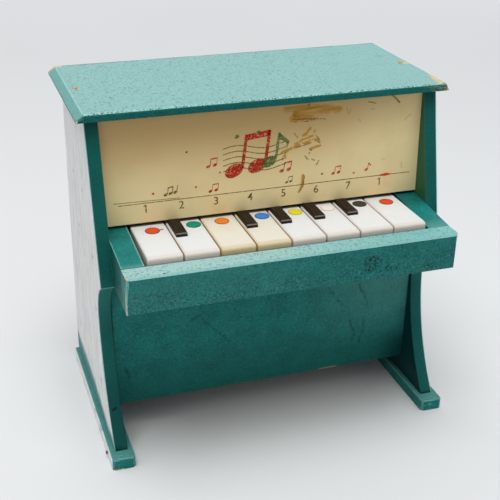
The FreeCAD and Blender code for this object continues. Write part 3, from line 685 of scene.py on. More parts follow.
def foot_paint():
    """Teal with painted highlights along its brush strokes and edges and a painted sheen on top, white on
    the outer side and bare at the front corners.
    """
    g = Surface("foot_paint")
    low, high = box_mm("right_foot")
    outer = high.x
    teal_coat(g, size=1.8, width=0.09, cover=0.55, share=0.5)
    brush = g.specks(size=0.9, start=0.56, full=0.70, detail=3, stretch=(7, 1, 1), seed=70)
    # Painted highlights along the brush strokes on the front
    g.paint(TEAL_GLINT, brush, g.near(g.y, low.y, start=9.0, full=2.0), share=0.4)
    # Painted sheen on top
    g.paint(TEAL_LID_PAINTED_SHEEN, g.facing_up(), share=0.25)
    # Painted highlight on the edges
    g.paint(TEAL_GLINT, g.arrises(), share=0.18)
    streaks = g.noise(size=1, detail=3, stretch=(1, 12, 1), seed=72)
    white = g.mix(g.step(streaks, start=0.45, full=0.75), WHITE_PAINT, GREY_GRAIN)
    patchy = g.specks(size=5, start=0.58, full=0.66, detail=3, stretch=(1, 3, 1), seed=74)
    white = g.tint(white, TEAL_PALE, patchy, share=0.6)
    g.paint(white, g.near(g.from_middle(), outer, start=-0.6, full=-0.3))
    edge = g.ragged(size=1.4, amount=1.2)
    corners = [g.stroke((x, low.y, low.z), (x, low.y, high.z), radius=0.45, soft=0.3, place=edge)
               for x in (-outer, outer)]
    sole = g.stroke((-outer, low.y, low.z), (SOLE_CHIP - outer, low.y, low.z), 0.5, soft=0.3, place=edge)
    bare(g, g.either(*corners, sole))
    return painted(g, depth=0.10)


# Fascia
FASCIA_LOW, FASCIA_HIGH = box_mm("fascia_panel")
FASCIA_EDGE = 1.0
FASCIA_PALER_X = (20.0, 105.0)
CAPPED_KEYS = [number for number in KEYS if f"black_cap_{number}" in nodes]

# Stains and scratches on the fascia: runs of (x, z) points, each with its radius
SMEAR_RUNS = (
    (0.9, (12.1, 210.9), (20.1, 210.8), (29.7, 210.7), (39.5, 209.1), (47.4, 207.6)),
    (1.2, (18.9, 208.6), (29.8, 208.6), (39.6, 207.5)),
    (1.1, (18.2, 206.4), (26.6, 206.2), (33.9, 206.8)),
    (0.7, (15.8, 204.3), (23.4, 204.4), (31.5, 204.1)),
)
FLAKE_RUNS = (
    (0.7, (28.1, 197.6), (26.7, 195.4), (23.7, 193.1)),
    (0.5, (29.8, 192.3), (22.9, 190.5)),
    (0.4, (26.2, 191.5), (21.7, 189.8)),
    (0.8, (28.7, 188.7), (23.0, 187.5), (18.3, 186.4)),
    (0.6, (16.1, 185.7), (9.4, 183.4)),
    (0.5, (12.9, 183.8), (9.8, 179.0)),
    (0.4, (12.5, 182.7), (11.8, 180.0)),
    (0.5, (33.6, 189.8), (30.3, 189.2)),
    (0.6, (34.6, 188.7), (35.0, 186.3)),
    (0.5, (35.5, 185.7), (28.0, 183.7)),
    (0.4, (32.2, 195.6), (31.0, 195.0)),
    (0.4, (20.1, 188.6), (18.3, 188.2)),
)
DRIP_RUNS = (
    (0.8, (24.1, 166.7), (24.1, 163.5), (23.2, 159.5)),
    (0.4, (22.8, 158.8), (21.5, 156.1)),
)
DARK_RUNS = (
    (0.20, (16.2, 204.0), (29.9, 203.3), (38.1, 202.3)),
    (0.30, (27.6, 212.7), (26.5, 211.3)),
    (0.20, (22.3, 202.0), (26.7, 201.9)),
    (0.20, (17.4, 202.2), (19.4, 202.1)),
    (0.20, (17.6, 195.1), (19.8, 191.9)),
    (0.25, (32.3, 192.0), (34.8, 189.8)),
    (0.20, (33.2, 188.9), (34.8, 187.2)),
    (0.20, (19.0, 185.8), (27.6, 187.2)),
    (0.25, (29.3, 183.1), (27.8, 181.1)),
    (0.30, (25.2, 179.6), (27.2, 177.2)),
    (0.20, (29.7, 177.0), (31.5, 176.3)),
    (0.25, (34.7, 175.6), (33.1, 173.3)),
    (0.20, (25.1, 166.5), (24.1, 159.8), (22.0, 156.0)),
)
CRACK_RUNS = (
    (0.30, (83.8, 213.6), (86.5, 211.4), (89.3, 208.6)),
    (0.15, (67.6, 210.7), (72.7, 209.5)),
)
FAINT_RUNS = (
    (0.15, (52.7, 207.7), (53.9, 203.7), (55.7, 207.1)),
    (0.15, (97.6, 200.2), (94.0, 197.0)),
    (0.15, (61.0, 200.0), (62.8, 198.3)),
    (0.15, (69.5, 205.9), (71.6, 205.8)),
    (0.15, (78.5, 172.4), (81.6, 171.4)),
    (0.15, (93.2, 168.4), (94.0, 164.6)),
)


def fascia_front():
    """Depth in millimetres of the fascia's front face at its lower and its upper edge."""
    places = [vertex.co / MM for vertex in nodes["fascia_panel"].data.vertices]
    lower = min(place.y for place in places if place.z < FASCIA_LOW.z + FASCIA_EDGE)
    upper = min(place.y for place in places if place.z > FASCIA_HIGH.z - FASCIA_EDGE)
    return lower, upper


FASCIA_LOWER_Y, FASCIA_UPPER_Y = fascia_front()


def on_fascia(x, z, lift=0.0):
    """The point of the fascia's front face at x and z, lifted off it."""
    share = (z - FASCIA_LOW.z) / (FASCIA_HIGH.z - FASCIA_LOW.z)
    y = FASCIA_LOWER_Y + share * (FASCIA_UPPER_Y - FASCIA_LOWER_Y)
    return Vector((x, y - lift, z))


def on_board(g, runs, soft, place):
    """Mask of the runs, laid on the fascia."""
    return g.either(*[g.strokes([on_fascia(*point) for point in points], radius, soft, place)
                      for radius, *points in runs])


def stain(g):
    """The mustard smear, flakes and drip on the board and their dark lines."""
    rough = g.ragged(size=4, amount=2.5)
    g.paint(MUSTARD, on_board(g, SMEAR_RUNS, soft=3.0, place=rough), share=0.25)
    flow = g.specks(size=1.9, start=0.30, full=0.54, detail=3, stretch=(7, 1, 1), seed=84)
    smear = g.both(on_board(g, SMEAR_RUNS, soft=1.6, place=rough), flow)
    g.paint(MUSTARD, smear, share=0.85)
    streaks = g.specks(size=2.4, start=0.48, full=0.66, stretch=(6, 1, 1), seed=85)
    g.paint(MUSTARD_DARK, smear, streaks, share=0.6)
    chips = g.specks(size=1.8, start=0.36, full=0.46, stretch=(2, 1, 1), seed=86)
    flakes = g.both(on_board(g, FLAKE_RUNS, soft=0.6, place=g.ragged(size=2.2, amount=2.4)), chips)
    drip = on_board(g, DRIP_RUNS, soft=0.5, place=g.ragged(size=3, amount=1))
    g.paint(MUSTARD, g.either(flakes, drip), share=0.9)
    lines = on_board(g, DARK_RUNS, soft=0.30, place=g.ragged(size=1.6, amount=1.6))
    g.paint(OLIVE, lines, g.specks(size=1.4, start=0.34, full=0.50, seed=88), share=0.75)


def fascia_board():
    """Cream lacquered board, browner towards the lid and the left from ageing and painted shade, with a
    painted shadow under the lid, painted shadows above the caps, and stains.
    """
    g = Surface("fascia_board")
    clouds = g.noise(size=26, detail=4, seed=80)
    g.colour = g.tint(CREAM, CREAM_AGED_AND_SHADED, g.step(clouds, start=0.42, full=0.72), share=0.22)
    # Ageing and painted shade, browner up towards the lid and to the left
    upper = g.step(g.z, start=FASCIA_LOW.z, full=FASCIA_HIGH.z + 2.0)
    aged_and_shaded = g.vary(g.step(g.x, *FASCIA_PALER_X), base=upper, rise=-0.5)
    g.paint(CREAM_AGED_AND_SHADED, g.step(aged_and_shaded, start=0.0, full=1.0))
    # Painted shadow under the lid
    g.paint(GRIME_AND_SHADOW, g.near(g.z, FASCIA_HIGH.z, start=-5.0, full=0.0), share=0.2)
    g.paint(OLIVE, g.specks(size=1.2, start=0.70, full=0.77, seed=82), share=0.3)
    for number in CAPPED_KEYS:
        cap_low, cap_high = box_mm(f"black_cap_{number}")
        # Painted shadow above each cap
        cap_shadow_centre = on_fascia((cap_low.x + cap_high.x) / 2, FASCIA_LOW.z + 2.0)
        g.paint(GRIME_AND_SHADOW, g.spot(cap_shadow_centre, radius=0.5, soft=8.0), share=0.10)
    stain(g)
    crack = on_board(g, CRACK_RUNS, soft=0.35, place=g.ragged(size=4, amount=1.2))
    faint = on_board(g, FAINT_RUNS, soft=0.5, place=g.ragged(size=3, amount=1.5))
    g.paint(OLIVE, g.either(g.both(crack, 0.8), g.both(faint, 0.25)))
    g.height = g.math("SUBTRACT", g.both(g.noise(size=1.2, seed=92), 0.3), crack)
    return g.finish(depth=0.05, Roughness=g.vary(clouds, base=0.36, rise=0.2), **PRINT_GLOSS)


# Hidden boards
def hardboard():
    """Brown hardboard with fine felted fibres."""
    g = Surface("hardboard_brown")
    g.grain(HARDBOARD, HARDBOARD_FIBRE, start=0.32, full=0.72,
            size=0.7, detail=5, stretch=(2, 1, 2), seed=100)
    g.paint(HARDBOARD_BLOTCH, g.specks(size=40, start=0.45, full=0.75, detail=3, seed=102), share=0.3)
    g.paint(HARDBOARD_SPECK, g.specks(size=0.8, start=0.70, full=0.78, detail=1, seed=104), share=0.4)
    return g.finish(depth=0.08, Roughness=0.62)


def bare_wood():
    """Pale wood with grain along the width."""
    g = Surface("pale_wood")
    g.grain(PALE_WOOD, PALE_WOOD_RING, start=0.38, full=0.66,
            size=3.5, detail=4, stretch=(14, 1, 1), seed=110)
    pores = g.specks(size=0.7, start=0.62, full=0.72, stretch=(10, 1, 1), seed=112)
    g.paint(PALE_WOOD_PORE, pores, share=0.5)
    return g.finish(depth=0.08, Roughness=0.6)


# Keyboard and action
KEY_LOW, KEY_HIGH = box_mm("white_key_1")
KEY_PITCH = box_mm("white_key_2")[0].x - KEY_LOW.x
DOT_LOW, DOT_HIGH = box_mm("colour_dot_1")
YELLOWED_KEYS = (3, 4)

# Where a sticker's rim starts and is full, in shares of its radius
STICKER_RIM = (0.84, 0.96)


def smear_dot(g):
    """A smear of sticker red with a dirty tip, to the right of the first dot."""
    x, y, z = DOT_HIGH.x, (DOT_LOW.y + DOT_HIGH.y) / 2, KEY_HIGH.z
    tail = g.stroke((x - 1.2, y, z), (x + 1.2, y + 0.5, z), radius=0.6, soft=0.6)
    g.paint(DOT_SMEAR, tail, share=0.85)
    tip = g.stroke((x + 1.3, y + 0.6, z), (x + 2.3, y + 0.8, z), radius=0.4, soft=0.6)
    g.paint(GRIME_AND_SHADOW, tip, share=0.65)


def key_plastic(name, top, front, gap):
    """Moulded plastic with painted shade down its front and near its front edge, along its left edge,
    between the keys and under the fascia, with faint clouds and grime.
    """
    g = Surface(name)
    # Painted shade on the front and near the front edge
    nose = g.both(g.near(g.y, KEY_LOW.y, start=5.0, full=0.6), 0.75)
    below = g.near(g.z, KEY_HIGH.z, start=-0.1, full=-1.2)
    g.colour = g.mix(g.either(nose, below), top, front)
    # Painted shade deep between the keys
    g.paint(gap, g.near(g.z, KEY_HIGH.z, start=-5.4, full=-10.0), share=0.85)
    from_left = g.math("MODULO", g.math("SUBTRACT", g.x, KEY_LOW.x), KEY_PITCH)
    # Painted shade along each key's rounded left edge
    g.paint(front, g.step(from_left, start=1.9, full=0.8), share=0.5)
    # Painted shade under the fascia
    g.paint(gap, g.near(g.y, FASCIA_LOWER_Y, start=-1.0, full=0.2), share=0.9)
    g.paint(front, g.specks(size=14, start=0.50, full=0.75, detail=4, seed=120), share=0.15)
    smear_dot(g)
    g.paint(GRIME_AND_SHADOW, g.specks(size=0.8, start=0.74, full=0.79, detail=1, seed=122), share=0.3)
    g.height = g.noise(size=2, seed=126)
    roughness = g.vary(g.noise(size=5, detail=3, seed=124), base=0.28, rise=0.2)
    return g.finish(depth=0.02, Roughness=roughness, **KEY_GLOSS)


def cap_plastic():
    """Brown-black plastic with fine lengthwise marks and a painted highlight along the nose."""
    g = Surface("cap_brown_black")
    low, high = box_mm("black_cap_4")
    g.grain(CAP_BROWN, CAP_MARK, start=0.4, full=0.7, size=0.6, detail=3, stretch=(1, 8, 1), seed=130)
    # Painted highlight on the nose
    nose = g.both(g.near(g.y, low.y, start=0.9, full=0.6), g.near(g.z, high.z, start=-1.2, full=-0.9))
    g.paint(CAP_NOSE_HIGHLIGHT, nose, share=0.6)
    return g.finish(depth=0.03, Roughness=0.45, **CAP_GLOSS)


def sticker(number, face, rim):
    """A round vinyl sticker with a darker rim and rubbed face."""
    g = Surface(f"sticker_{number}")
    low, high = box_mm(f"colour_dot_{number}")
    radius = (high.x - low.x) / 2
    rubbed = g.specks(size=1.6, start=0.50, full=0.80, detail=3, seed=140 + number)
    g.colour = g.tint(face, STICKER_RUBBED, rubbed, share=0.06)
    gap = g.vector("DISTANCE", g.place, (low + high) / 2)
    g.paint(rim, g.step(gap, *[radius * share for share in STICKER_RIM]))
    g.height = g.noise(size=0.9, seed=150)
    return g.finish(depth=0.02, Roughness=0.45, **PRINT_GLOSS)


def hammer_plastic():
    """Off-white plastic with faint clouds."""
    g = Surface("hammer_off_white")
    g.grain(HAMMER_WHITE, HAMMER_CLOUD, start=0.4, full=0.7, size=6, detail=3, seed=160)
    g.height = g.noise(size=1.2, seed=162)
    return g.finish(depth=0.03, Roughness=0.5)


def steel(name, light, dark, stretch):
    """Metal with drawing marks along the stretched axis and spots of tarnish."""
    g = Surface(name)
    g.grain(dark, light, start=0.35, full=0.7, size=0.35, detail=3, stretch=stretch, seed=170)
    tarnish = g.specks(size=3, start=0.56, full=0.70, detail=4, seed=172)
    g.paint(TARNISH, tarnish, share=0.5)
    return g.finish(depth=0.02, Roughness=g.vary(tarnish, base=0.28, rise=0.35), Metallic=1.0)


def nail_steel():
    """Dull nail heads, painted over on the rail's front and on the white sides."""
    g = Surface("nail_steel")
    g.grain(NAIL_DARK, NAIL_LIGHT, start=0.35, full=0.70, size=0.5, detail=3, seed=173)
    kept = g.both(g.specks(size=0.8, start=0.62, full=0.50, seed=175), 0.9)
    on_rail = g.near(g.y, RAIL_HIGH.y, start=0.0, full=-1.0)
    g.paint(TEAL_DEEP, g.either(kept, g.right_half()), on_rail)
    on_side = g.band(g.from_middle(), SIDE_OUTER - 0.6, SIDE_OUTER + 0.4, soft=0.2)
    g.paint(GREY_GRAIN, kept, on_side)
    return g.finish(depth=0.04, Roughness=0.5, Metallic=0.4)


def screw_brass():
    """Screw heads with paint rubbed off them and dirt in the middle."""
    g = Surface("screw_brass")
    g.grain(SCREW_PALE, SCREW_RUBBED, start=0.35, full=0.70, size=0.7, detail=3, seed=174)
    middles = [g.spot((x, SCREW_Y, SCREW_HIGH.z), radius=0.8, soft=0.5) for x in SCREW_PLACES]
    g.paint(SCREW_DIRT, g.either(*middles))
    return g.finish(depth=0.05, Roughness=0.55, Metallic=0.3)


def red_felt():
    """Pressed felt with a soft sheen."""
    g = Surface("felt_red")
    g.grain(FELT_RED, FELT_PALE, start=0.3, full=0.7, size=0.5, detail=4, seed=180)
    return g.finish(depth=0.25, Roughness=0.95, **FELT_SHEEN)


def ink(name, colour):
    """Printing ink, rubbed thin in places so that the cream board shows."""
    g = Surface(name)
    g.height = g.specks(size=1.1, start=0.50, full=0.66, detail=3, seed=190)
    g.colour = g.tint(colour, CREAM, g.height, share=0.45)
    return g.finish(depth=0.01, Roughness=0.5, **PRINT_GLOSS)


def dress(material, *names):
    """Gives nodes of the frame a material."""
    for name in names:
        slots = nodes[name].data.materials
        slots.clear()
        slots.append(material)


def dress_case():
    dress(lid_paint(), "top_board")
    dress(rail_paint(), "key_rail")
    dress(cheek_paint(), "left_cheek", "right_cheek")
    dress(panel_paint(), "lower_front_panel")
    dress(side_paint(), "left_side_panel", "right_side_panel")
    dress(foot_paint(), "left_foot", "right_foot")
    dress(fascia_board(), "fascia_panel")
    dress(hardboard(), "back_panel")
    dress(bare_wood(), "key_bed", "front_tone_rail", "rear_tone_rail")


def dress_action():
    white = key_plastic("key_white", *KEY_WHITE)
    yellowed = key_plastic("key_yellowed", *KEY_YELLOWED)
    cap = cap_plastic()
    hammer = hammer_plastic()
    bar = steel("bar_steel", BAR_LIGHT, BAR_DARK, stretch=(1, 14, 1))
    for number in KEYS:
        dress(yellowed if number in YELLOWED_KEYS else white, f"white_key_{number}")
        dress(hammer, f"hammer_{number}")
        dress(bar, f"tone_bar_{number}")
    for number in CAPPED_KEYS:
        dress(cap, f"black_cap_{number}")
    wire = steel("wire_steel", WIRE_LIGHT, WIRE_DARK, stretch=(14, 1, 1))
    dress(wire, "key_pivot_rod", "hammer_pivot_rod", "tone_bar_pins")
    dress(nail_steel(), "case_nails", "foot_tacks")
    dress(screw_brass(), "lid_screws")


def dress_stickers():
    for number, (face, rim) in enumerate(STICKERS, start=1):
        dress(sticker(number, face, rim), f"colour_dot_{number}")


# Softened edges of the wooden pieces
SOFT_BOARDS = ("top_board", "left_side_panel", "right_side_panel", "left_foot", "right_foot",
               "lower_front_panel", "key_rail", "left_cheek", "right_cheek", "back_panel")
BOARD_EDGE = 0.45 * MM
BOARD_EDGE_SEGMENTS = 2
SHARP_ANGLE = math.radians(40)
WELD_GAP = 0.001 * MM


def soften_edges(names):
    """Joins the solids' faces and rounds their sharp edges a little."""
    for name in names:
        weld = nodes[name].modifiers.new("weld", "WELD")
        weld.merge_threshold = WELD_GAP
        bevel = nodes[name].modifiers.new("edges", "BEVEL")
        bevel.width = BOARD_EDGE
        bevel.segments = BOARD_EDGE_SEGMENTS
        bevel.limit_method = "ANGLE"
        bevel.angle_limit = SHARP_ANGLE
        bevel.harden_normals = True


def make_object(name, mesh, material):
    """A new object of the mesh, in the scene."""
    data = bpy.data.meshes.new(name)
    mesh.to_mesh(data)
    mesh.free()
    data.materials.append(material)
    made = bpy.data.objects.new(name, data)
    bpy.context.scene.collection.objects.link(made)
    return made


# Print on the fascia. Shapes are drawn in x and z and laid on the leaning face.
INK_LIFT = 0.04
INK_SINK = 0.10
LINE_WIDTH = 0.45
GHOST_WIDTH = LINE_WIDTH * 0.7
STAVE_WIDTH = LINE_WIDTH * 1.4
ONE_FLAG_WIDTH = LINE_WIDTH * 1.3
NUMBER_HEIGHT = 5.2
NUMBER_SIZE = NUMBER_HEIGHT * 1.38
NUMBER_BOLD = 0.05
NUMBER_SMOOTH = 4
NUMBER_Z = 157.0
NUMBER_SHIFT = -0.3
SCALE_LINE = ((-95.9, 160.5), (99.8, 161.2))
GHOST_LINE = ((-98.7, 162.2), (-57.3, 161.5))
END_MARK = ((76.0, 161.1), (82.4, 160.2), (87.4, 161.3), (82.4, 162.4))
BROWN_DOTS = ((-46.7, 167.2), (-24.0, 171.0), (37.2, 166.6), (-31.0, 175.0), (-52.0, 190.0))
STAVE_START = (-29.0, 175.0)
STAVE_LINES = 5
STAVE_POINTS = 10
STAVE_GAP = 3.6
STAVE_STEP = 4.6
WAVE_HEIGHT = 1.6
WAVE_TURN = 0.8

# The flag of a 1: ends at offsets along x and shares of the number's height
ONE_FLAG = ((-1.4, 0.78), (0.1, 0.98))

# Proportions of a note, in shares of its size
HEAD_HALF_LENGTH = 0.30
HEAD_HALF_HEIGHT = 0.20
HEAD_TILT = 25
STEM_FOOT = (0.26, 0.06)
STEM_WIDTH = 0.10
STEM_LEAN = math.tan(math.radians(8.0))
BEAM_DROP = 0.18
FLAG = ((0.0, -0.25), (0.26, -0.38), (0.30, -0.62), (0.40, -0.35), (0.0, 0.0))


class Print:
    """Thin solids of one ink, laid on the fascia as one piece."""

    def __init__(self, name, material):
        self.name = name
        self.material = material
        self.mesh = bmesh.new()

    def outline(self, points):
        """A closed outline of (x, z) points as a thin solid."""
        front = [self.mesh.verts.new(on_fascia(x, z, INK_LIFT) * MM) for x, z in points]
        back = [self.mesh.verts.new(on_fascia(x, z, -INK_SINK) * MM) for x, z in points]
        self.mesh.faces.new(front)
        self.mesh.faces.new(reversed(back))
        for here, after in zip(range(len(points)), [*range(1, len(points)), 0]):
            self.mesh.faces.new((front[after], front[here], back[here], back[after]))

    def line(self, start, end, width=LINE_WIDTH):
        a, b = Vector(start), Vector(end)
        across = (b - a).orthogonal().normalized() * width / 2
        self.outline([a + across, a - across, b - across, b + across])

    def oval(self, centre, half_length, half_height, tilt=20, count=20):
        turn = Matrix.Rotation(math.radians(tilt), 2)
        angles = [2 * math.pi * step / count for step in range(count)]
        points = [Vector((half_length * math.cos(a), half_height * math.sin(a))) for a in angles]
        self.outline([Vector(centre) + turn @ point for point in points])

    def dot(self, centre, half_length, half_height):
        """A small oval of few points."""
        self.oval(centre, half_length, half_height, count=12)

    def note(self, foot, size):
        """One note: a tilted head with its stem. Gives the top of the stem."""
        head = Vector(foot)
        self.oval(head, size * HEAD_HALF_LENGTH, size * HEAD_HALF_HEIGHT, HEAD_TILT)
        base = head + Vector(STEM_FOOT) * size
        top = base + Vector((STEM_LEAN * size, size))
        self.line(base, top, size * STEM_WIDTH)
        return top

    def pair(self, foot, size, spread=0.9, rise=0.12):
        """Two notes under one beam."""
        first = self.note(foot, size)
        second = self.note(Vector(foot) + Vector((size * spread, size * rise)), size)
        drop = Vector((0, size * BEAM_DROP))
        self.outline([first, first - drop, second - drop, second])

    def flagged(self, foot, size):
        """One note with a flag."""
        top = self.note(foot, size)
        self.outline([top + Vector(point) * size for point in FLAG])

    def wave(self, x, z, width):
        """A wavy line to the right."""
        points = [(x + STAVE_STEP * step, z + WAVE_HEIGHT * math.sin(step * WAVE_TURN))
                  for step in range(STAVE_POINTS)]
        for here, after in zip(points, points[1:]):
            self.line(here, after, width)

    def number(self, digit, x, z):
        """A digit centred at x, standing on z."""
        text = bpy.data.curves.new(f"digit_{digit}", "FONT")
        text.body = digit
        text.align_x = "CENTER"
        text.size = NUMBER_SIZE
        text.offset = NUMBER_BOLD
        text.resolution_u = NUMBER_SMOOTH
        text.extrude = (INK_LIFT + INK_SINK) / 2
        holder = bpy.data.objects.new(text.name, text)
        drawn = bpy.data.meshes.new_from_object(holder)
        for vertex in drawn.vertices:
            lift = vertex.co.z + (INK_LIFT - INK_SINK) / 2
            vertex.co = on_fascia(x + vertex.co.x, z + vertex.co.y, lift) * MM
        self.mesh.from_mesh(drawn)
        bpy.data.meshes.remove(drawn)
        bpy.data.objects.remove(holder)
        bpy.data.curves.remove(text)
        if digit == "1":
            ends = [(x + offset, z + NUMBER_HEIGHT * share) for offset, share in ONE_FLAG]
            self.line(*ends, ONE_FLAG_WIDTH)

    def place(self):
        """Makes the piece, which rides on the case."""
        bmesh.ops.recalc_face_normals(self.mesh, faces=self.mesh.faces)
        piece = make_object(self.name, self.mesh, self.material)
        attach(piece, "case")


def print_brown():
    """The scale's lines and numbers, which end with a 1 again, and small brown notes and dots."""
    brown = Print("printed_scale", ink("ink_brown", INK_BROWN))
    brown.line(*SCALE_LINE)
    brown.line(*GHOST_LINE, GHOST_WIDTH)
    for number in KEYS:
        low, high = box_mm(f"white_key_{number}")
        digit = str(number) if number < len(KEYS) else "1"
        brown.number(digit, (low.x + high.x) / 2 + NUMBER_SHIFT, NUMBER_Z - NUMBER_HEIGHT / 2)
    brown.pair((-66.0, 164.4), size=4.4, spread=0.7)
    brown.note((-60.0, 165.4), size=4.2)
    brown.pair((13.0, 163.6), size=3.4, spread=0.8)
    for centre in BROWN_DOTS:
        brown.dot(centre, half_length=0.8, half_height=0.6)
    brown.place()


def print_green():
    """A wavy stave and one note in olive green."""
    green = Print("printed_stave", ink("ink_green", INK_GREEN))
    x, z = STAVE_START
    for line in range(STAVE_LINES):
        green.wave(x, z + STAVE_GAP * line, STAVE_WIDTH)
    green.flagged((1.0, 178.5), size=17.0)
    green.oval((-20.0, 196.5), half_length=1.6, half_height=1.2)
    green.oval((-6.0, 198.0), half_length=1.3, half_height=1.0)
    green.place()


def print_red():
    """Large and small notes in red, and the mark at the scale's end."""
    red = Print("printed_notes", ink("ink_red", INK_RED))
    red.pair((-22.0, 175.0), size=21.0, spread=0.72, rise=0.08)
    red.pair((-38.5, 179.5), size=4.6)
    red.pair((-37.5, 163.4), size=4.2)
    red.pair((9.5, 171.5), size=5.2)
    red.pair((44.8, 166.0), size=4.2)
    red.flagged((68.0, 166.0), size=4.4)
    red.dot((-73.8, 166.0), half_length=0.9, half_height=0.7)
    red.dot((59.4, 164.8), half_length=0.9, half_height=0.6)
    red.place()
    mark = Print("printed_mark", ink("ink_bright_red", INK_BRIGHT))
    mark.outline(END_MARK)
    mark.place()


# Felts, as fuzzy strips in place of the plain solids
FELT_STEPS = 60
FELT_RING = 16
FELT_SQUARENESS = 0.35
FELT_UNEVEN = 0.03
FELT_LONG_WAVE = 0.61
FELT_SHORT_WAVE = 1.7
FELT_END = 0.1 * MM


def squared(level):
    """A level of a circle's height, pushed outward so that the circle becomes a rounded box."""
    return math.copysign(abs(level) ** FELT_SQUARENESS, level)


def felt_strip(bm, left, right, half_depth, low, high):
    """A soft strip between two end points (x, y), with rounded and slightly uneven edges."""
    rings = []
    for step in range(FELT_STEPS + 1):
        share = step / FELT_STEPS
        x = left[0] + share * (right[0] - left[0])
        y = left[1] + share * (right[1] - left[1])
        swell = 1 - FELT_UNEVEN * (1 + math.sin(step * FELT_SHORT_WAVE) * math.cos(step * FELT_LONG_WAVE))
        ring = []
        for turn in range(FELT_RING):
            angle = 2 * math.pi * turn / FELT_RING
            z = (low + high) / 2 + squared(math.sin(angle)) * (high - low) / 2 * swell
            ring.append(bm.verts.new((x, y + squared(math.cos(angle)) * half_depth * swell, z)))
        rings.append(ring)
    for here, after in zip(rings, rings[1:]):
        for turn in range(FELT_RING):
            beside = (turn + 1) % FELT_RING
            bm.faces.new((here[turn], here[beside], after[beside], after[turn]))
    bm.faces.new(reversed(rings[0]))
    bm.faces.new(rings[-1])


def strip_ends(node, low, high):
    """The end points and half depth of a node's strips, front one first, read at the two ends."""
    places = [vertex.co for vertex in nodes[node].data.vertices]
    middle = (low.y + high.y) / 2
    strips = []
    for side in (-1, 1):
        ends = []
        for edge in (low.x, high.x):
            ys = [p.y for p in places if abs(p.x - edge) < FELT_END and (p.y - middle) * side > 0]
            ends.append((edge, (min(ys) + max(ys)) / 2))
        half = (max(ys) - min(ys)) / 2
        strips.append((*ends, half))
    return strips


def place_felts():
    """Each felt rides on the case and stands for its plain solid."""
    cloth = red_felt()
    for node in ("key_stop_felt", "key_rest_felt", "tone_felts"):
        low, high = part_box(node)
        bm = bmesh.new()
        if node == "tone_felts":
            for left, right, half in strip_ends(node, low, high):
                felt_strip(bm, left, right, half, low.z, high.z)
        else:
            middle = (low.y + high.y) / 2
            felt_strip(bm, (low.x, middle), (high.x, middle), (high.y - low.y) / 2, low.z, high.z)
        bmesh.ops.recalc_face_normals(bm, faces=bm.faces)
        piece = make_object(f"{node}_cloth", bm, cloth)
        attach(piece, "case")
        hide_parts(node)


# Floor and light
FLOOR_HALF = 12.0
FLOOR_COLOUR = rgb(216, 217, 217)
FLOOR_CLOUD = rgb(223, 225, 225)
FLOOR_FADE = (500.0, 2800.0)
BACKDROP = rgb(250, 252, 255)
BACKDROP_LEVEL = 0.95
LAMP_PLACE = Vector((-0.25, -0.35, 2.2))
LAMP_AIM = Vector((0.0, 0.0, 0.1))
LAMP_SIZE = 1.4
LAMP_POWER = 33.0

# Light from all round: an axis, two directions along it and the level at each
WORLD_LEVELS = (("Y", -0.6, 0.7, 0.55, 0.82), ("Z", 0.0, 0.6, 0.32, 1.0))


def floor_material():
    """Pale floor that turns into the backdrop's colour far from the object."""
    g = Surface("floor_pale")
    g.colour = g.mix(g.noise(size=400, seed=200), FLOOR_COLOUR, FLOOR_CLOUD)
    material = g.finish(depth=0.0, Roughness=0.9, Specular_IOR_Level=0.1)
    far = g.step(g.vector("LENGTH", g.place), *FLOOR_FADE)
    backdrop = g.node("ShaderNodeEmission", Color=BACKDROP, Strength=BACKDROP_LEVEL)
    join = g.node("ShaderNodeMixShader", Fac=g.both(far, g.shown_directly()))
    g.feed(join.inputs[1], g.shader.outputs[0])
    g.feed(join.inputs[2], backdrop.outputs[0])
    g.feed(g.tree.nodes["Material Output"].inputs["Surface"], join.outputs[0])
    return material


def place_floor():
    bm = bmesh.new()
    corners = [(-1, -1), (1, -1), (1, 1), (-1, 1)]
    bm.faces.new([bm.verts.new((x * FLOOR_HALF, y * FLOOR_HALF, 0)) for x, y in corners])
    floor = make_object("floor", bm, floor_material())


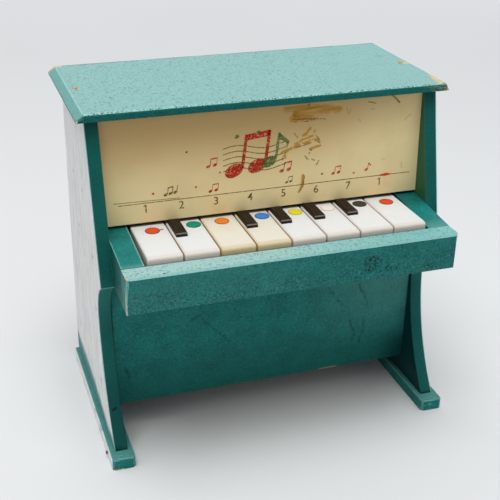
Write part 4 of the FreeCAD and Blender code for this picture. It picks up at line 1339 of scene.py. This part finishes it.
def light_world():
    """Soft light from all round, stronger from behind and above; seen directly, the plain backdrop."""
    world = bpy.data.worlds.new("studio")
    world.use_nodes = True
    bpy.context.scene.world = world
    g = Graph(world.node_tree)
    direction = g.node("ShaderNodeTexCoord").outputs["Generated"]
    along = g.node("ShaderNodeSeparateXYZ", Vector=direction).outputs
    levels = [g.node("ShaderNodeMapRange", Value=along[axis], From_Min=start, From_Max=end,
                     To_Min=first, To_Max=last).outputs[0] for axis, start, end, first, last in WORLD_LEVELS]
    strength = g.node("ShaderNodeMix")
    shares = (g.shown_directly(), g.both(*levels), BACKDROP_LEVEL)
    g.feed_all([strength.inputs[socket] for socket in NUMBER_MIX], shares)
    background = g.tree.nodes["Background"].inputs
    g.feed(background["Color"], BACKDROP)
    g.feed(background["Strength"], strength.outputs[0])


def place_lamp():
    lamp = bpy.data.lights.new("overhead", "AREA")
    lamp.size = LAMP_SIZE
    lamp.energy = LAMP_POWER
    holder = bpy.data.objects.new("overhead", lamp)
    holder.location = LAMP_PLACE
    holder.rotation_euler = (LAMP_AIM - LAMP_PLACE).to_track_quat("-Z", "Y").to_euler()
    bpy.context.scene.collection.objects.link(holder)


# Camera, fitted to the edges of the photograph
CAMERA_PLACE = Vector((-192.1, -542.7, 386.7)) * MM
CAMERA_YAW = math.radians(18.18)
CAMERA_PITCH = math.radians(27.69)
CAMERA_ROLL = math.radians(0.545)
IMAGE_PIXELS = 500
FOCAL_PIXELS = 943.0
AXIS_PIXEL = (235, 280)
SENSOR = 36.0


def place_camera():
    data = bpy.data.cameras.new("camera")
    data.sensor_width = SENSOR
    data.lens = FOCAL_PIXELS / IMAGE_PIXELS * SENSOR
    data.shift_x = 0.5 - AXIS_PIXEL[0] / IMAGE_PIXELS
    data.shift_y = AXIS_PIXEL[1] / IMAGE_PIXELS - 0.5
    camera = bpy.data.objects.new("camera", data)
    turns = ((-CAMERA_YAW, "Z"), (math.pi / 2 - CAMERA_PITCH, "X"), (CAMERA_ROLL, "Z"))
    pose = Matrix.Translation(CAMERA_PLACE)
    for angle, axis in turns:
        pose = pose @ Matrix.Rotation(angle, 4, axis)
    camera.matrix_world = pose
    bpy.context.scene.collection.objects.link(camera)
    bpy.context.scene.camera = camera


dress_case()
dress_action()
dress_stickers()
soften_edges(SOFT_BOARDS)
print_brown()
print_green()
print_red()
place_felts()
place_floor()
light_world()
place_lamp()
place_camera()
bpy.context.scene.view_settings.view_transform = "Standard"
